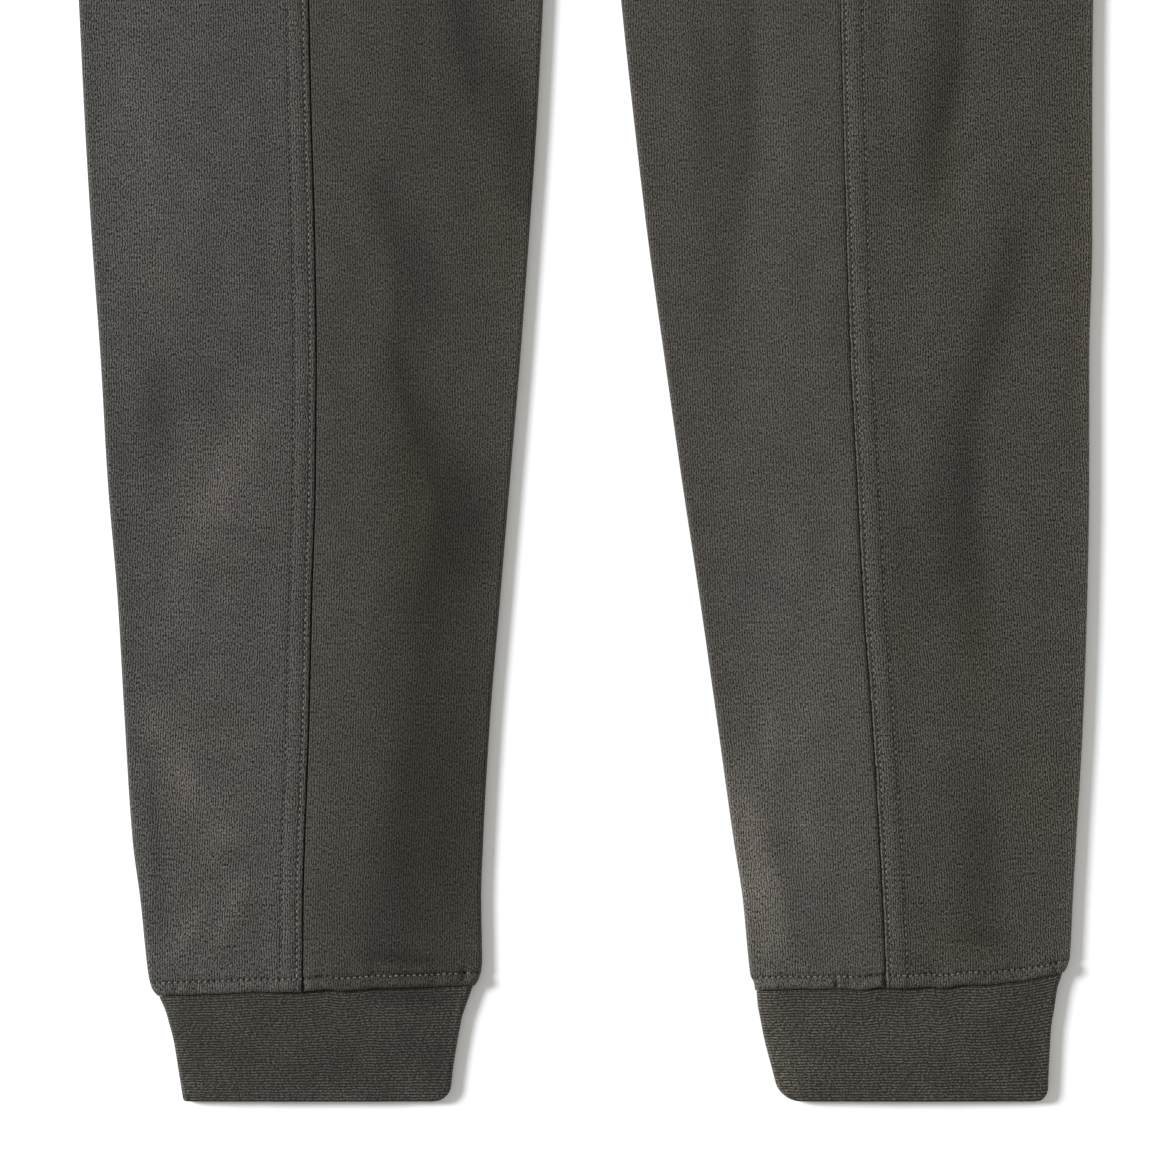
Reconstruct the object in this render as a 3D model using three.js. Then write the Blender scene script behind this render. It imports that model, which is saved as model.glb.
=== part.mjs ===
// Jogger sweatpants of brushed fleece, laid flat on their back with both layers on each other.
// Millimetres, +Z up. +Y runs up the garment to the waist, and +X towards the wearer's left.
// The origin is on the surface that the garment lies on, under the middle of its length and width.
// Every size across is a distance from the garment's middle line, and "rise" is the height up the
// garment from the bottom of the cuffs.
import * as THREE from "three";

// Heights up the garment
const LENGTH = 1004;
const WAIST_SEAM = 956;
const CROTCH = 714;
const HEM = 52;

// Cloth: the walls of the leg, cuff and waistband, the air between the two layers, and how far the
// crown, the rounded ends and the sewn-on edges reach
const FLEECE = 2.2;
const RIB = 2.2;
const ELASTIC = 2.8;
const SEAM_GAP = 0.3;
const EDGE_AIR = 0.5;
const CROWN_AIR = 2.0;
const LEAST_AIR = 0.42;
const MOST_AIR = 4.0;
const CROWN_REACH = 55;
const CUFF_CROWN = 0.7;
const CUFF_END_ROUND = 0.8;
const BAND_CROWN = 0.9;
const BAND_DRAW_IN = 0.4;
const CROTCH_BLEND = 14;
const HEM_SETTLE = 20;

// Lapped forward seam: the back panel's folded edge lies on the front panel's allowance
const LAP_WIDTH = 11;
const LAP_SHOULDER = 16;
const LAP_EASE = 1.8;
const LAP_ALLOWANCE = 1.5;
const LAP_TOP = 3.9;
const LAP_EDGE_HEIGHT = 0.8;
const LAP_EDGE_ROUND = 1.1;
const LAP_CLEARANCE = 0.5;
const LAP_SLOPE = 0.2;

// Hem band: the puffed stretch of leg cloth between the cuff and the row of stitches over it
const HEM_BAND = [
  { above: 0, wall: 1.5 },
  { above: 1.2, wall: 2.9 },
  { above: 3.8, wall: 3.0 },
  { above: 5.6, wall: 1.9 },
  { above: 8.5, wall: 2.3 },
  { above: 14, wall: FLEECE },
];
const HEM_FADE = 70;
const HEM_KICK_POWER = 4;

// Gathers in the waistband, and under it, where every second one runs on into the legs
const BAND_GATHERS = 22;
const BAND_GATHER_DEPTH = 0.7;
const BAND_HALF_BOTTOM = 202;
const BAND_HALF_TOP = 197;
const GATHER_REACH = 95;
const GATHER_PITCH = (4 * BAND_HALF_BOTTOM) / BAND_GATHERS;
const GATHER_DEPTH = 0.8;

// Rises at which the leg cloth is cut into sections
const HEM_RISES = HEM_BAND.map((step) => HEM + step.above);
const LEG_RISES = [82, 104, 128, 152, 178, 204, 230, 256, 282, 308, 334, 362, 392, 424, 458, 500];
const HIP_RISES = [548, 600, 650, 690, 704, CROTCH, 726, 764, 812, 860, 892, 914, 930, 943, WAIST_SEAM];
const RISES = [...HEM_RISES, ...LEG_RISES, ...HIP_RISES];

// Each leg as it lies. side is -1 for the wearer's right and +1 for the left. hemOuter and hemInner
// are the rise of the hem towards the two edges, and hemKick is how much further it climbs close to
// the outer one.
const RIGHT = {
  side: -1,
  hemOuter: 48.6,
  hemInner: 53.4,
  hemKick: 0,
  outline: [
    { rise: 52, outer: 196.8, seam: 130.2, inner: 50.6 },
    { rise: 55, outer: 199.2, seam: 130.1, inner: 48.9 },
    { rise: 59, outer: 200.6, seam: 130.1, inner: 47.8 },
    { rise: 64, outer: 201.5, seam: 130.0, inner: 47.4 },
    { rise: 93, outer: 204.7, seam: 129.8, inner: 47.8 },
    { rise: 120, outer: 208.4, seam: 129.0, inner: 46.9 },
    { rise: 176, outer: 212.1, seam: 127.0, inner: 43.7 },
    { rise: 231, outer: 215.3, seam: 125.8, inner: 39.1 },
    { rise: 286, outer: 219.9, seam: 124.1, inner: 34.5 },
    { rise: 341, outer: 223.1, seam: 123.7, inner: 29.9 },
    { rise: 397, outer: 227.2, seam: 124.4, inner: 25.8 },
    { rise: 452, outer: 230.5, seam: 126.0, inner: 22.1 },
    { rise: 507, outer: 233.2, seam: 127.2, inner: 19.3 },
    { rise: 570, outer: 236.3, seam: 129.0, inner: 16.6 },
    { rise: 640, outer: 239.7, seam: 131.0, inner: 11.5 },
    { rise: 700, outer: 242.7, seam: 132.8, inner: 2.4 },
    { rise: 714, outer: 243.3, seam: 133.2, inner: 0.15 },
    { rise: 800, outer: 246.0, seam: 134.0, inner: 0.15 },
    { rise: 880, outer: 240.0, seam: 132.0, inner: 0.15 },
    { rise: 930, outer: 219.0, seam: 123.0, inner: 0.15 },
    { rise: 956, outer: 204.0, seam: 115.0, inner: 0.15 },
  ],
  cuff: [
    { rise: 0, outer: 185.0, inner: 62.4 },
    { rise: 15, outer: 187.2, inner: 60.7 },
    { rise: 30, outer: 189.5, inner: 58.2 },
    { rise: 38, outer: 191.4, inner: 56.6 },
    { rise: 45, outer: 193.3, inner: 54.2 },
    { rise: 52, outer: 196.2, inner: 51.6 },
  ],
  cuffCornerOuter: 1.5,
  cuffCornerInner: 7,
};
const LEFT = {
  side: 1,
  hemOuter: 53.0,
  hemInner: 51.2,
  hemKick: 6.8,
  outline: [
    { rise: 52, outer: 220.9, seam: 138.5, inner: 78.3 },
    { rise: 55, outer: 222.3, seam: 138.5, inner: 77.9 },
    { rise: 59, outer: 223.4, seam: 138.4, inner: 76.2 },
    { rise: 66, outer: 223.8, seam: 138.2, inner: 75.3 },
    { rise: 93, outer: 224.9, seam: 136.9, inner: 72.7 },
    { rise: 120, outer: 226.3, seam: 135.5, inner: 68.5 },
    { rise: 176, outer: 229.5, seam: 132.0, inner: 60.7 },
    { rise: 231, outer: 231.4, seam: 127.9, inner: 52.9 },
    { rise: 286, outer: 232.3, seam: 125.1, inner: 44.6 },
    { rise: 341, outer: 232.3, seam: 122.1, inner: 36.8 },
    { rise: 397, outer: 233.7, seam: 120.2, inner: 29.0 },
    { rise: 452, outer: 233.7, seam: 118.7, inner: 22.5 },
    { rise: 507, outer: 234.1, seam: 117.6, inner: 16.6 },
    { rise: 570, outer: 236.2, seam: 119.0, inner: 10.6 },
    { rise: 640, outer: 239.4, seam: 122.5, inner: 5.2 },
    { rise: 700, outer: 242.6, seam: 127.0, inner: 1.3 },
    { rise: 714, outer: 243.3, seam: 128.0, inner: 0.15 },
    { rise: 800, outer: 246.0, seam: 132.0, inner: 0.15 },
    { rise: 880, outer: 240.0, seam: 131.5, inner: 0.15 },
    { rise: 930, outer: 219.0, seam: 123.0, inner: 0.15 },
    { rise: 956, outer: 204.0, seam: 115.0, inner: 0.15 },
  ],
  cuff: [
    { rise: 0, outer: 213.0, inner: 90.0 },
    { rise: 15, outer: 213.8, inner: 86.2 },
    { rise: 30, outer: 214.8, inner: 82.4 },
    { rise: 38, outer: 216.3, inner: 80.9 },
    { rise: 45, outer: 217.5, inner: 79.6 },
    { rise: 52, outer: 220.0, inner: 79.0 },
  ],
  cuffCornerOuter: 5,
  cuffCornerInner: 9,
};

// The largest folds of each leg: a curve that bends from one point to another, its half width, and
// how far the cloth rises along it. A trough has a negative rise.
const RIGHT_FOLDS = [
  { x0: 70, r0: 530, xb: 58, rb: 480, x1: 26, r1: 440, width: 14, lift: -1.5 },
  { x0: 95, r0: 440, xb: 68, rb: 400, x1: 72, r1: 346, width: 12, lift: -1.1 },
  { x0: 86, r0: 352, xb: 66, rb: 280, x1: 74, r1: 226, width: 10, lift: -1.6 },
  { x0: 100, r0: 356, xb: 82, rb: 290, x1: 88, r1: 232, width: 11, lift: 0.8 },
  { x0: 142, r0: 330, xb: 182, rb: 270, x1: 194, r1: 215, width: 16, lift: 1.4 },
  { x0: 209, r0: 286, xb: 190, rb: 320, x1: 160, r1: 336, width: 14, lift: -1.0 },
  { x0: 201, r0: 176, xb: 190, rb: 140, x1: 160, r1: 112, width: 14, lift: 0.9 },
  { x0: 72, r0: 190, xb: 62, rb: 140, x1: 84, r1: 84, width: 18, lift: -0.9 },
  { x0: 190, r0: 640, xb: 175, rb: 570, x1: 182, r1: 500, width: 20, lift: -0.8 },
  { x0: 8, r0: 735, xb: 40, rb: 752, x1: 84, r1: 800, width: 14, lift: -1.0 },
  { x0: 12, r0: 690, xb: 50, rb: 668, x1: 86, r1: 618, width: 16, lift: -0.9 },
  { x0: 200, r0: 860, xb: 180, rb: 800, x1: 196, r1: 740, width: 18, lift: 0.8 },
];
const LEFT_FOLDS = [
  { x0: 174, r0: 530, xb: 170, rb: 470, x1: 155, r1: 412, width: 12, lift: -1.5 },
  { x0: 200, r0: 410, xb: 166, rb: 310, x1: 181, r1: 218, width: 11, lift: -1.5 },
  { x0: 52, r0: 520, xb: 84, rb: 440, x1: 58, r1: 340, width: 14, lift: -1.2 },
  { x0: 84, r0: 470, xb: 92, rb: 410, x1: 78, r1: 350, width: 14, lift: 0.8 },
  { x0: 84, r0: 244, xb: 90, rb: 170, x1: 104, r1: 100, width: 16, lift: -0.7 },
  { x0: 184, r0: 150, xb: 188, rb: 110, x1: 184, r1: 76, width: 12, lift: -0.7 },
  { x0: 186, r0: 650, xb: 196, rb: 590, x1: 176, r1: 540, width: 18, lift: -0.8 },
  { x0: 8, r0: 738, xb: 44, rb: 744, x1: 92, r1: 784, width: 14, lift: -1.0 },
  { x0: 14, r0: 684, xb: 46, rb: 656, x1: 74, r1: 606, width: 16, lift: -0.9 },
  { x0: 206, r0: 850, xb: 186, rb: 790, x1: 198, r1: 728, width: 18, lift: 0.8 },
];
const FOLD_STEPS = 10;
const FOLD_END_SHARE = 0.35;

// Points across each piece
const FRONT_SPANS = 9;
const BACK_SPANS = 7;
const UNDER_SPANS = 3;
const FOLD_SPANS = 4;
const ROLL_SPANS = 2;
const CUFF_SPANS = 7;
const BAND_SPANS = 10;
const GATHER_SPANS = 4;
const CUFF_STEPS = [0, 0.03, 0.1, 0.22, 0.5, 0.78, 0.95, 1];
const BAND_STEPS = [
  { at: 0, wall: 2.2 },
  { at: 0.07, wall: ELASTIC },
  { at: 0.5, wall: ELASTIC },
  { at: 0.93, wall: ELASTIC },
  { at: 1, wall: 2.0 },
];

const mix = (a, b, t) => a + (b - a) * t;
const smoothstep = THREE.MathUtils.smoothstep;
const clamp = THREE.MathUtils.clamp;

// A column of a table at any rise, on a curve that never runs past its rows.
function column(rows, name, rise) {
  const last = rows.length - 1;
  const held = clamp(rise, rows[0].rise, rows[last].rise);
  const slope = (k) => (rows[k + 1][name] - rows[k][name]) / (rows[k + 1].rise - rows[k].rise);
  const tangent = (k) => {
    if (k === 0) return slope(0);
    if (k === last) return slope(last - 1);
    const below = slope(k - 1);
    const above = slope(k);
    return below * above > 0 ? (2 * below * above) / (below + above) : 0;
  };
  const k = Math.max(0, rows.findIndex((row, n) => n < last && held <= rows[n + 1].rise));
  const span = rows[k + 1].rise - rows[k].rise;
  const t = (held - rows[k].rise) / span;
  return (
    rows[k][name] * (1 + 2 * t) * (1 - t) ** 2 +
    tangent(k) * span * t * (1 - t) ** 2 +
    rows[k + 1][name] * t * t * (3 - 2 * t) -
    tangent(k + 1) * span * t * t * (1 - t)
  );
}

// How much one fold lifts the cloth at a point.
function foldLift(fold, x, rise) {
  let nearest = Infinity;
  let where = 0;
  for (let step = 0; step <= FOLD_STEPS; step += 1) {
    const t = step / FOLD_STEPS;
    const curveX = mix(mix(fold.x0, fold.xb, t), mix(fold.xb, fold.x1, t), t);
    const curveRise = mix(mix(fold.r0, fold.rb, t), mix(fold.rb, fold.r1, t), t);
    const gap = Math.hypot(x - curveX, rise - curveRise);
    if (gap < nearest) {
      nearest = gap;
      where = t;
    }
  }
  const fade = mix(FOLD_END_SHARE, 1, Math.sin(Math.PI * where));
  return fold.lift * fade * Math.exp(-((nearest / fold.width) ** 2));
}

// 1 below the crotch, where a leg has an inner edge of its own, and 0 above it.
const rollAt = (rise) => 1 - smoothstep(rise, CROTCH - CROTCH_BLEND, CROTCH);

// Rise of the hem between the inner edge (0) and the outer one (1).
const hemAt = (leg, across) =>
  mix(leg.hemInner, leg.hemOuter, across) + leg.hemKick * across ** HEM_KICK_POWER;

// The air between the two layers of a leg at a point.
function airAt(leg, folds, x, rise) {
  const outer = column(leg.outline, "outer", rise);
  const inner = column(leg.outline, "inner", rise);
  const fromOuter = smoothstep(outer - x, 0, CROWN_REACH);
  const fromInner = mix(1, smoothstep(x - inner, 0, CROWN_REACH), rollAt(rise));
  const open = fromOuter * fromInner;
  const lift = folds.reduce((sum, fold) => sum + foldLift(fold, x, rise), 0);
  const gathered = smoothstep(rise, WAIST_SEAM - GATHER_REACH, WAIST_SEAM);
  const gather = GATHER_DEPTH * gathered * Math.cos((2 * Math.PI * x) / GATHER_PITCH);
  const settled = smoothstep(rise, HEM, HEM + HEM_SETTLE);
  return clamp(EDGE_AIR + open * (CROWN_AIR + lift * settled + gather), LEAST_AIR, MOST_AIR);
}

// Thickness of the upper wall, which swells in the hem band.
function wallAt(rise) {
  const rows = HEM_BAND.map((step) => ({ rise: HEM + step.above, wall: step.wall }));
  return column(rows, "wall", rise);
}

// The height of the upper layer's inside over a leg. It runs straight across the lapped seam, so
// that the two panels lie parallel there.
function floorOver(leg, folds, rise) {
  const seam = column(leg.outline, "seam", rise);
  const from = seam - LAP_EASE;
  const to = seam + LAP_SHOULDER;
  const plain = (x) => FLEECE + airAt(leg, folds, x, rise);
  return (x) => (x > from && x < to ? mix(plain(from), plain(to), (x - from) / (to - from)) : plain(x));
}

// A closed wall between two grids of points. A ring also joins its last column to its first.
function wallGeometry(outer, inner, ring) {
  const rows = outer.length;
  const across = outer[0].length;
  const at = (layer, row, place) => (layer * rows + row) * across + (place % across);
  const faces = [];
  const quad = (a, b, c, d) => faces.push([a, b, c], [a, c, d]);
  const spans = ring ? across : across - 1;
  const top = rows - 1;
  for (let row = 0; row < top; row += 1) {
    for (let k = 0; k < spans; k += 1) {
      quad(at(0, row, k), at(0, row, k + 1), at(0, row + 1, k + 1), at(0, row + 1, k));
      quad(at(1, row, k), at(1, row + 1, k), at(1, row + 1, k + 1), at(1, row, k + 1));
    }
    if (!ring) {
      quad(at(0, row, 0), at(0, row + 1, 0), at(1, row + 1, 0), at(1, row, 0));
      quad(at(0, row + 1, spans), at(0, row, spans), at(1, row, spans), at(1, row + 1, spans));
    }
  }
  for (let k = 0; k < spans; k += 1) {
    quad(at(0, 0, k + 1), at(0, 0, k), at(1, 0, k), at(1, 0, k + 1));
    quad(at(0, top, k), at(0, top, k + 1), at(1, top, k + 1), at(1, top, k));
  }
  const points = [...outer.flat(), ...inner.flat()];
  const volume = faces.reduce(
    (sum, [a, b, c]) => sum + points[a].dot(new THREE.Vector3().crossVectors(points[b], points[c])),
    0,
  );
  const turned = volume < 0 ? faces.map(([a, b, c]) => [a, c, b]) : faces;
  const geometry = new THREE.BufferGeometry().setFromPoints(points);
  geometry.setIndex(turned.flat());
  geometry.computeVertexNormals();
  return geometry;
}

// Points of one section of a leg, told as distance from the middle line and height off the surface,
// go to their place on the leg, with the hem's slope faded in towards the cuff.
function placer(leg, rise) {
  const outer = column(leg.outline, "outer", rise);
  const inner = column(leg.outline, "inner", rise);
  const fade = 1 - smoothstep(rise, HEM, HEM + HEM_FADE);
  return ([x, z]) => {
    const across = clamp((x - inner) / (outer - inner), 0, 1);
    const y = rise + (hemAt(leg, across) - HEM) * fade - LENGTH / 2;
    return new THREE.Vector3(leg.side * x, y, z);
  };
}

// The two edges of cloth at a leg's inner side, which roll towards each other below the crotch.
// up is 1 for the front panel, whose edge turns down, and -1 for the back panel.
function innerRoll(leg, rise, air, up) {
  const inner = column(leg.outline, "inner", rise);
  const wall = up > 0 ? wallAt(rise) : FLEECE;
  const height = FLEECE + air + wallAt(rise);
  const radius = height / 2;
  const middle = FLEECE + air / 2 + (up * SEAM_GAP) / 2;
  const roll = rollAt(rise);
  const outside = [];
  const inside = [];
  for (let k = 0; k <= ROLL_SPANS; k += 1) {
    const t = k / ROLL_SPANS;
    const angle = (Math.PI / 2) * (1 - t);
    const flatX = inner + radius * (1 - t);
    const flatOut = up > 0 ? height : 0;
    const flatIn = up > 0 ? FLEECE + air : FLEECE;
    const roundX = inner + radius * (1 - Math.cos(angle));
    const roundOut = mix(middle, flatOut, Math.sin(angle));
    const insideX = inner + mix(radius, wall, t);
    const roundIn = mix(flatIn, middle, t);
    outside.push([mix(flatX, roundX, roll), mix(flatOut, roundOut, roll)]);
    inside.push([mix(flatX, insideX, roll), mix(flatIn, roundIn, roll)]);
  }
  return { outside, inside, start: inner + radius };
}

// Front panel: from its allowance under the lapped seam to the inner edge or the middle seam.
function frontPanel(leg, folds) {
  const outer = [];
  const inner = [];
  for (const rise of RISES) {
    const seam = column(leg.outline, "seam", rise);
    const edge = column(leg.outline, "inner", rise);
    const wall = wallAt(rise);
    const roll = innerRoll(leg, rise, airAt(leg, folds, edge, rise), 1);
    const from = seam - LAP_EASE;
    const section = [
      { x: seam + LAP_WIDTH, wall: LAP_ALLOWANCE },
      { x: seam - SEAM_GAP, wall: LAP_ALLOWANCE },
    ];
    for (let k = 0; k < FRONT_SPANS; k += 1) {
      section.push({ x: mix(from, roll.start, k / FRONT_SPANS), wall });
    }
    const floorOf = floorOver(leg, folds, rise);
    const place = placer(leg, rise);
    outer.push([...section.map((s) => [s.x, floorOf(s.x) + s.wall]), ...roll.outside].map(place));
    inner.push([...section.map((s) => [s.x, floorOf(s.x)]), ...roll.inside].map(place));
  }
  return wallGeometry(outer, inner, false);
}

// Back panel: from its folded edge on the front panel, out and round the outer fold of the leg, and
// back underneath to the inner edge or the middle seam.
function backPanel(leg, folds) {
  const outer = [];
  const inner = [];
  for (const rise of RISES) {
    const seam = column(leg.outline, "seam", rise);
    const fold = column(leg.outline, "outer", rise);
    const edge = column(leg.outline, "inner", rise);
    const wall = wallAt(rise);
    const air = airAt(leg, folds, fold, rise);
    const radius = (FLEECE + air + wall) / 2;
    const under = LAP_ALLOWANCE + SEAM_GAP;
    const section = [
      { x: seam, out: under + LAP_EDGE_HEIGHT, in: under },
      { x: seam + LAP_EDGE_ROUND, out: LAP_TOP, in: under },
      { x: seam + LAP_WIDTH + LAP_CLEARANCE, out: LAP_TOP - LAP_SLOPE, in: under },
    ];
    for (let k = 0; k < BACK_SPANS; k += 1) {
      section.push({ x: mix(seam + LAP_SHOULDER, fold - radius, k / BACK_SPANS), out: wall, in: 0 });
    }
    const floorOf = floorOver(leg, folds, rise);
    const outside = section.map((s) => [s.x, floorOf(s.x) + s.out]);
    const inside = section.map((s) => [s.x, floorOf(s.x) + s.in]);
    for (let k = 0; k <= FOLD_SPANS; k += 1) {
      const angle = Math.PI / 2 - (Math.PI * k) / FOLD_SPANS;
      outside.push([fold - radius + radius * Math.cos(angle), radius + radius * Math.sin(angle)]);
      inside.push([fold - radius + (air / 2) * Math.cos(angle), FLEECE + (air / 2) * (1 + Math.sin(angle))]);
    }
    const roll = innerRoll(leg, rise, airAt(leg, folds, edge, rise), -1);
    for (let k = 1; k < UNDER_SPANS; k += 1) {
      const x = mix(fold - radius, roll.start, k / UNDER_SPANS);
      outside.push([x, 0]);
      inside.push([x, FLEECE]);
    }
    const place = placer(leg, rise);
    outer.push([...outside, ...roll.outside].map(place));
    inner.push([...inside, ...roll.inside].map(place));
  }
  return wallGeometry(outer, inner, false);
}

// One section of a flattened tube of cloth between two folds, as a ring of points outside and one
// inside. airOf and reliefOf give the air in it and the rise of its surface at a share across.
function tubeSection({ low, high, wall, spans, underSpans, airOf, reliefOf, lift, yOf }) {
  const outside = [];
  const inside = [];
  const edgeAir = airOf(0);
  const radius = (wall * 2 + edgeAir) / 2;
  const from = low + radius;
  const to = high - radius;
  const add = (list, x, z) => list.push(new THREE.Vector3(x, yOf((x - low) / (high - low)), z));
  for (let k = 0; k < spans; k += 1) {
    const share = k / spans;
    const x = mix(from, to, share);
    add(outside, x, wall * 2 + airOf(share) + reliefOf(share) - lift);
    add(inside, x, wall + airOf(share));
  }
  for (let k = 0; k < FOLD_SPANS; k += 1) {
    const angle = Math.PI / 2 - (Math.PI * k) / FOLD_SPANS;
    add(outside, to + radius * Math.cos(angle), radius + (radius - lift) * Math.sin(angle));
    add(inside, to + (edgeAir / 2) * Math.cos(angle), wall + (edgeAir / 2) * (1 + Math.sin(angle)));
  }
  for (let k = 0; k < underSpans; k += 1) {
    const x = mix(to, from, k / underSpans);
    add(outside, x, lift);
    add(inside, x, wall);
  }
  for (let k = 0; k < FOLD_SPANS; k += 1) {
    const angle = -Math.PI / 2 - (Math.PI * k) / FOLD_SPANS;
    add(outside, from + radius * Math.cos(angle), radius + (radius - lift) * Math.sin(angle));
    add(inside, from + (edgeAir / 2) * Math.cos(angle), wall + (edgeAir / 2) * (1 + Math.sin(angle)));
  }
  return { outside, inside };
}

// How far a corner of the given radius draws the edge in, at a height above its end.
const cornerInset = (radius, above) =>
  above >= radius ? 0 : radius - Math.sqrt(radius ** 2 - (radius - above) ** 2);

// Cuff: a tube of rib folded double, its bottom corners rounded, its top sewn along the hem.
function cuff(leg) {
  const sections = CUFF_STEPS.map((step) => {
    const rise = step * HEM;
    const outer = column(leg.cuff, "outer", rise) - cornerInset(leg.cuffCornerOuter, rise);
    const inner = column(leg.cuff, "inner", rise) + cornerInset(leg.cuffCornerInner, rise);
    const ends = [leg.side * inner, leg.side * outer].sort((a, b) => a - b);
    const acrossOf = (share) => (leg.side > 0 ? share : 1 - share);
    return tubeSection({
      low: ends[0],
      high: ends[1],
      wall: RIB,
      spans: CUFF_SPANS,
      underSpans: CUFF_SPANS,
      airOf: (share) => EDGE_AIR + CUFF_CROWN * Math.sin(Math.PI * share),
      reliefOf: () => 0,
      lift: step === 0 ? CUFF_END_ROUND : 0,
      yOf: (share) => step * (hemAt(leg, acrossOf(clamp(share, 0, 1))) - SEAM_GAP) - LENGTH / 2,
    });
  });
  return wallGeometry(sections.map((s) => s.outside), sections.map((s) => s.inside), true);
}

// Waistband: an elastic tube, drawn in so that its upper layer stands in even gathers.
function waistband() {
  const height = LENGTH - WAIST_SEAM - SEAM_GAP;
  const sections = BAND_STEPS.map(({ at, wall }) => {
    const half = mix(BAND_HALF_BOTTOM, BAND_HALF_TOP, smoothstep(at, 0, BAND_DRAW_IN));
    return tubeSection({
      low: -half,
      high: half,
      wall,
      spans: BAND_GATHERS * GATHER_SPANS,
      underSpans: BAND_SPANS,
      airOf: (share) => EDGE_AIR + BAND_CROWN * Math.sin(Math.PI * share),
      reliefOf: (share) => (BAND_GATHER_DEPTH / 2) * (Math.cos(2 * Math.PI * BAND_GATHERS * share) - 1),
      lift: 0,
      yOf: () => WAIST_SEAM + SEAM_GAP + at * height - LENGTH / 2,
    });
  });
  return wallGeometry(sections.map((s) => s.outside), sections.map((s) => s.inside), true);
}

// Brushed cotton fleece and rib knit, both dyed a dark grey-olive.
const cloth = (name, color, roughness) =>
  new THREE.MeshStandardMaterial({ name, color, roughness, metalness: 0 });
const fleece = (name) => cloth(name, 0x48453f, 0.95);
const ribKnit = (name) => cloth(name, 0x3e3c37, 0.93);

const joggers = new THREE.Group();
const add = (name, geometry, material) => {
  const mesh = new THREE.Mesh(geometry, material);
  mesh.name = name;
  joggers.add(mesh);
};

add("front_panel_right", frontPanel(RIGHT, RIGHT_FOLDS), fleece("front_right"));
add("front_panel_left", frontPanel(LEFT, LEFT_FOLDS), fleece("front_left"));
add("back_panel_right", backPanel(RIGHT, RIGHT_FOLDS), fleece("back_right"));
add("back_panel_left", backPanel(LEFT, LEFT_FOLDS), fleece("back_left"));
add("cuff_right", cuff(RIGHT), ribKnit("cuff_right"));
add("cuff_left", cuff(LEFT), ribKnit("cuff_left"));
add("waistband", waistband(), fleece("waistband"));

export default joggers;
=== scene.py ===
"""Jogger sweatpants of brushed fleece, laid flat on their back, dressed around the fixed frame.

Sizes are in millimetres until a mesh is made, in the frame of the solids: +X towards the wearer's
left, +Y up the garment, +Z out of its front. A size across is a distance from the garment's middle
line, and a rise is a height up the garment from the bottom of the cuffs. How much lighter or darker
a place is goes by powers of ten.
"""

import logging
import math
from dataclasses import dataclass
from enum import Enum
from typing import Callable, Sequence

import bpy
import numpy as np
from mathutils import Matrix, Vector


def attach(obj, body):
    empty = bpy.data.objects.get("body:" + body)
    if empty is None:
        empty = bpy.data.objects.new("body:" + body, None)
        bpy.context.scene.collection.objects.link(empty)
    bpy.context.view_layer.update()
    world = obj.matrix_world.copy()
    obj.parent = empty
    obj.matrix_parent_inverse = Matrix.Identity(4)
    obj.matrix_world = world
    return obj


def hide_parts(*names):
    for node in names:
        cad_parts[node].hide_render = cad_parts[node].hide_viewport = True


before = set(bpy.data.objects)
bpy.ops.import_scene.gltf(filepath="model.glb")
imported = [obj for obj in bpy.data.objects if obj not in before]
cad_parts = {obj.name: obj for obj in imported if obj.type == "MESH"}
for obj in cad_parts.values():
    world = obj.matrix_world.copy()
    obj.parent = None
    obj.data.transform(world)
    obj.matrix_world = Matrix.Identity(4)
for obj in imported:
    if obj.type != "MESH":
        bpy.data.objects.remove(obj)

log = logging.getLogger("joggers")

MM = 0.001
FLOOR_GAP = 0.3

# Heights up the garment
LENGTH = 1004.0
WAIST_SEAM = 956.0
CROTCH = 714.0
HEM = 52.0

# Walls, gaps and the air between the two layers
FLEECE = 2.2
RIB = 2.2
ELASTIC = 2.8
SEAM_GAP = 0.3
EDGE_AIR = 0.5
CROWN_AIR = 4.4
HEM_CROWN = 0.55
LEAST_AIR = 0.35
MOST_AIR = 8.5
CROWN_REACH = 78.0
CROTCH_BLEND = 14.0
END_ROUND = 1.6

# Lapped forward seam and its two rows of stitches, as distances from the folded edge
LAP_WIDTH = 11.0
LAP_SHOULDER = 22.0
LAP_EASE = 1.8
LAP_ALLOWANCE = 1.2
LAP_RISE = 2.85
NEAR_ROW = 2.4
FAR_ROW = 9.9

# Hem: how its slope and crown fade up the leg, and the puffed band under its row of stitches
HEM_ROW = 5.9
HEM_SETTLE = 16.0
HEM_FADE = 70.0
HEM_KICK_POWER = 7.0
HEM_SPAN = 150.0
HEM_ROUND = 1.9
HEM_PUFF = 1.5
HEM_PUFF_TOP = 3.6
HEM_PUFF_LEAST = 0.2
HEM_TUCK = 1.2
PUCKER_STRETCH = 0.35
PUCKER_START = (0.6, 2.2)

# Stitches
SEAM_PITCH = 2.9
HEM_PITCH = 2.75
STITCH_SHARE = 0.7
THREAD_HALF_WIDTH = 0.42

# Gathers of the waist
BAND_GATHERS = 22
BAND_HALF_BOTTOM = 202.0
BAND_HALF_TOP = 197.0
GATHER_REACH = 95.0
GATHER_SWAY = 0.6
GATHER_SWAY_SPAN = 23.0
GATHER_LEAN = 0.012

# Rows of a panel: over the hem, then evenly up the leg, and wider over the hip
HEM_ROWS = (
    (0.0, 0.2, 0.5, 0.9, 1.4, 2.0, 2.7, 3.4, 4.1, 4.7, 5.1)
    + (5.5, 5.9, 6.3, 6.7, 7.2, 7.9, 8.8, 10.0, 11.4, 13.0, 14.6)
)
LEG_ROWS = (HEM + 16.0, 520.0, 2.2)
HIP_ROWS = (3.0, WAIST_SEAM - 2.0, 3.3)

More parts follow.
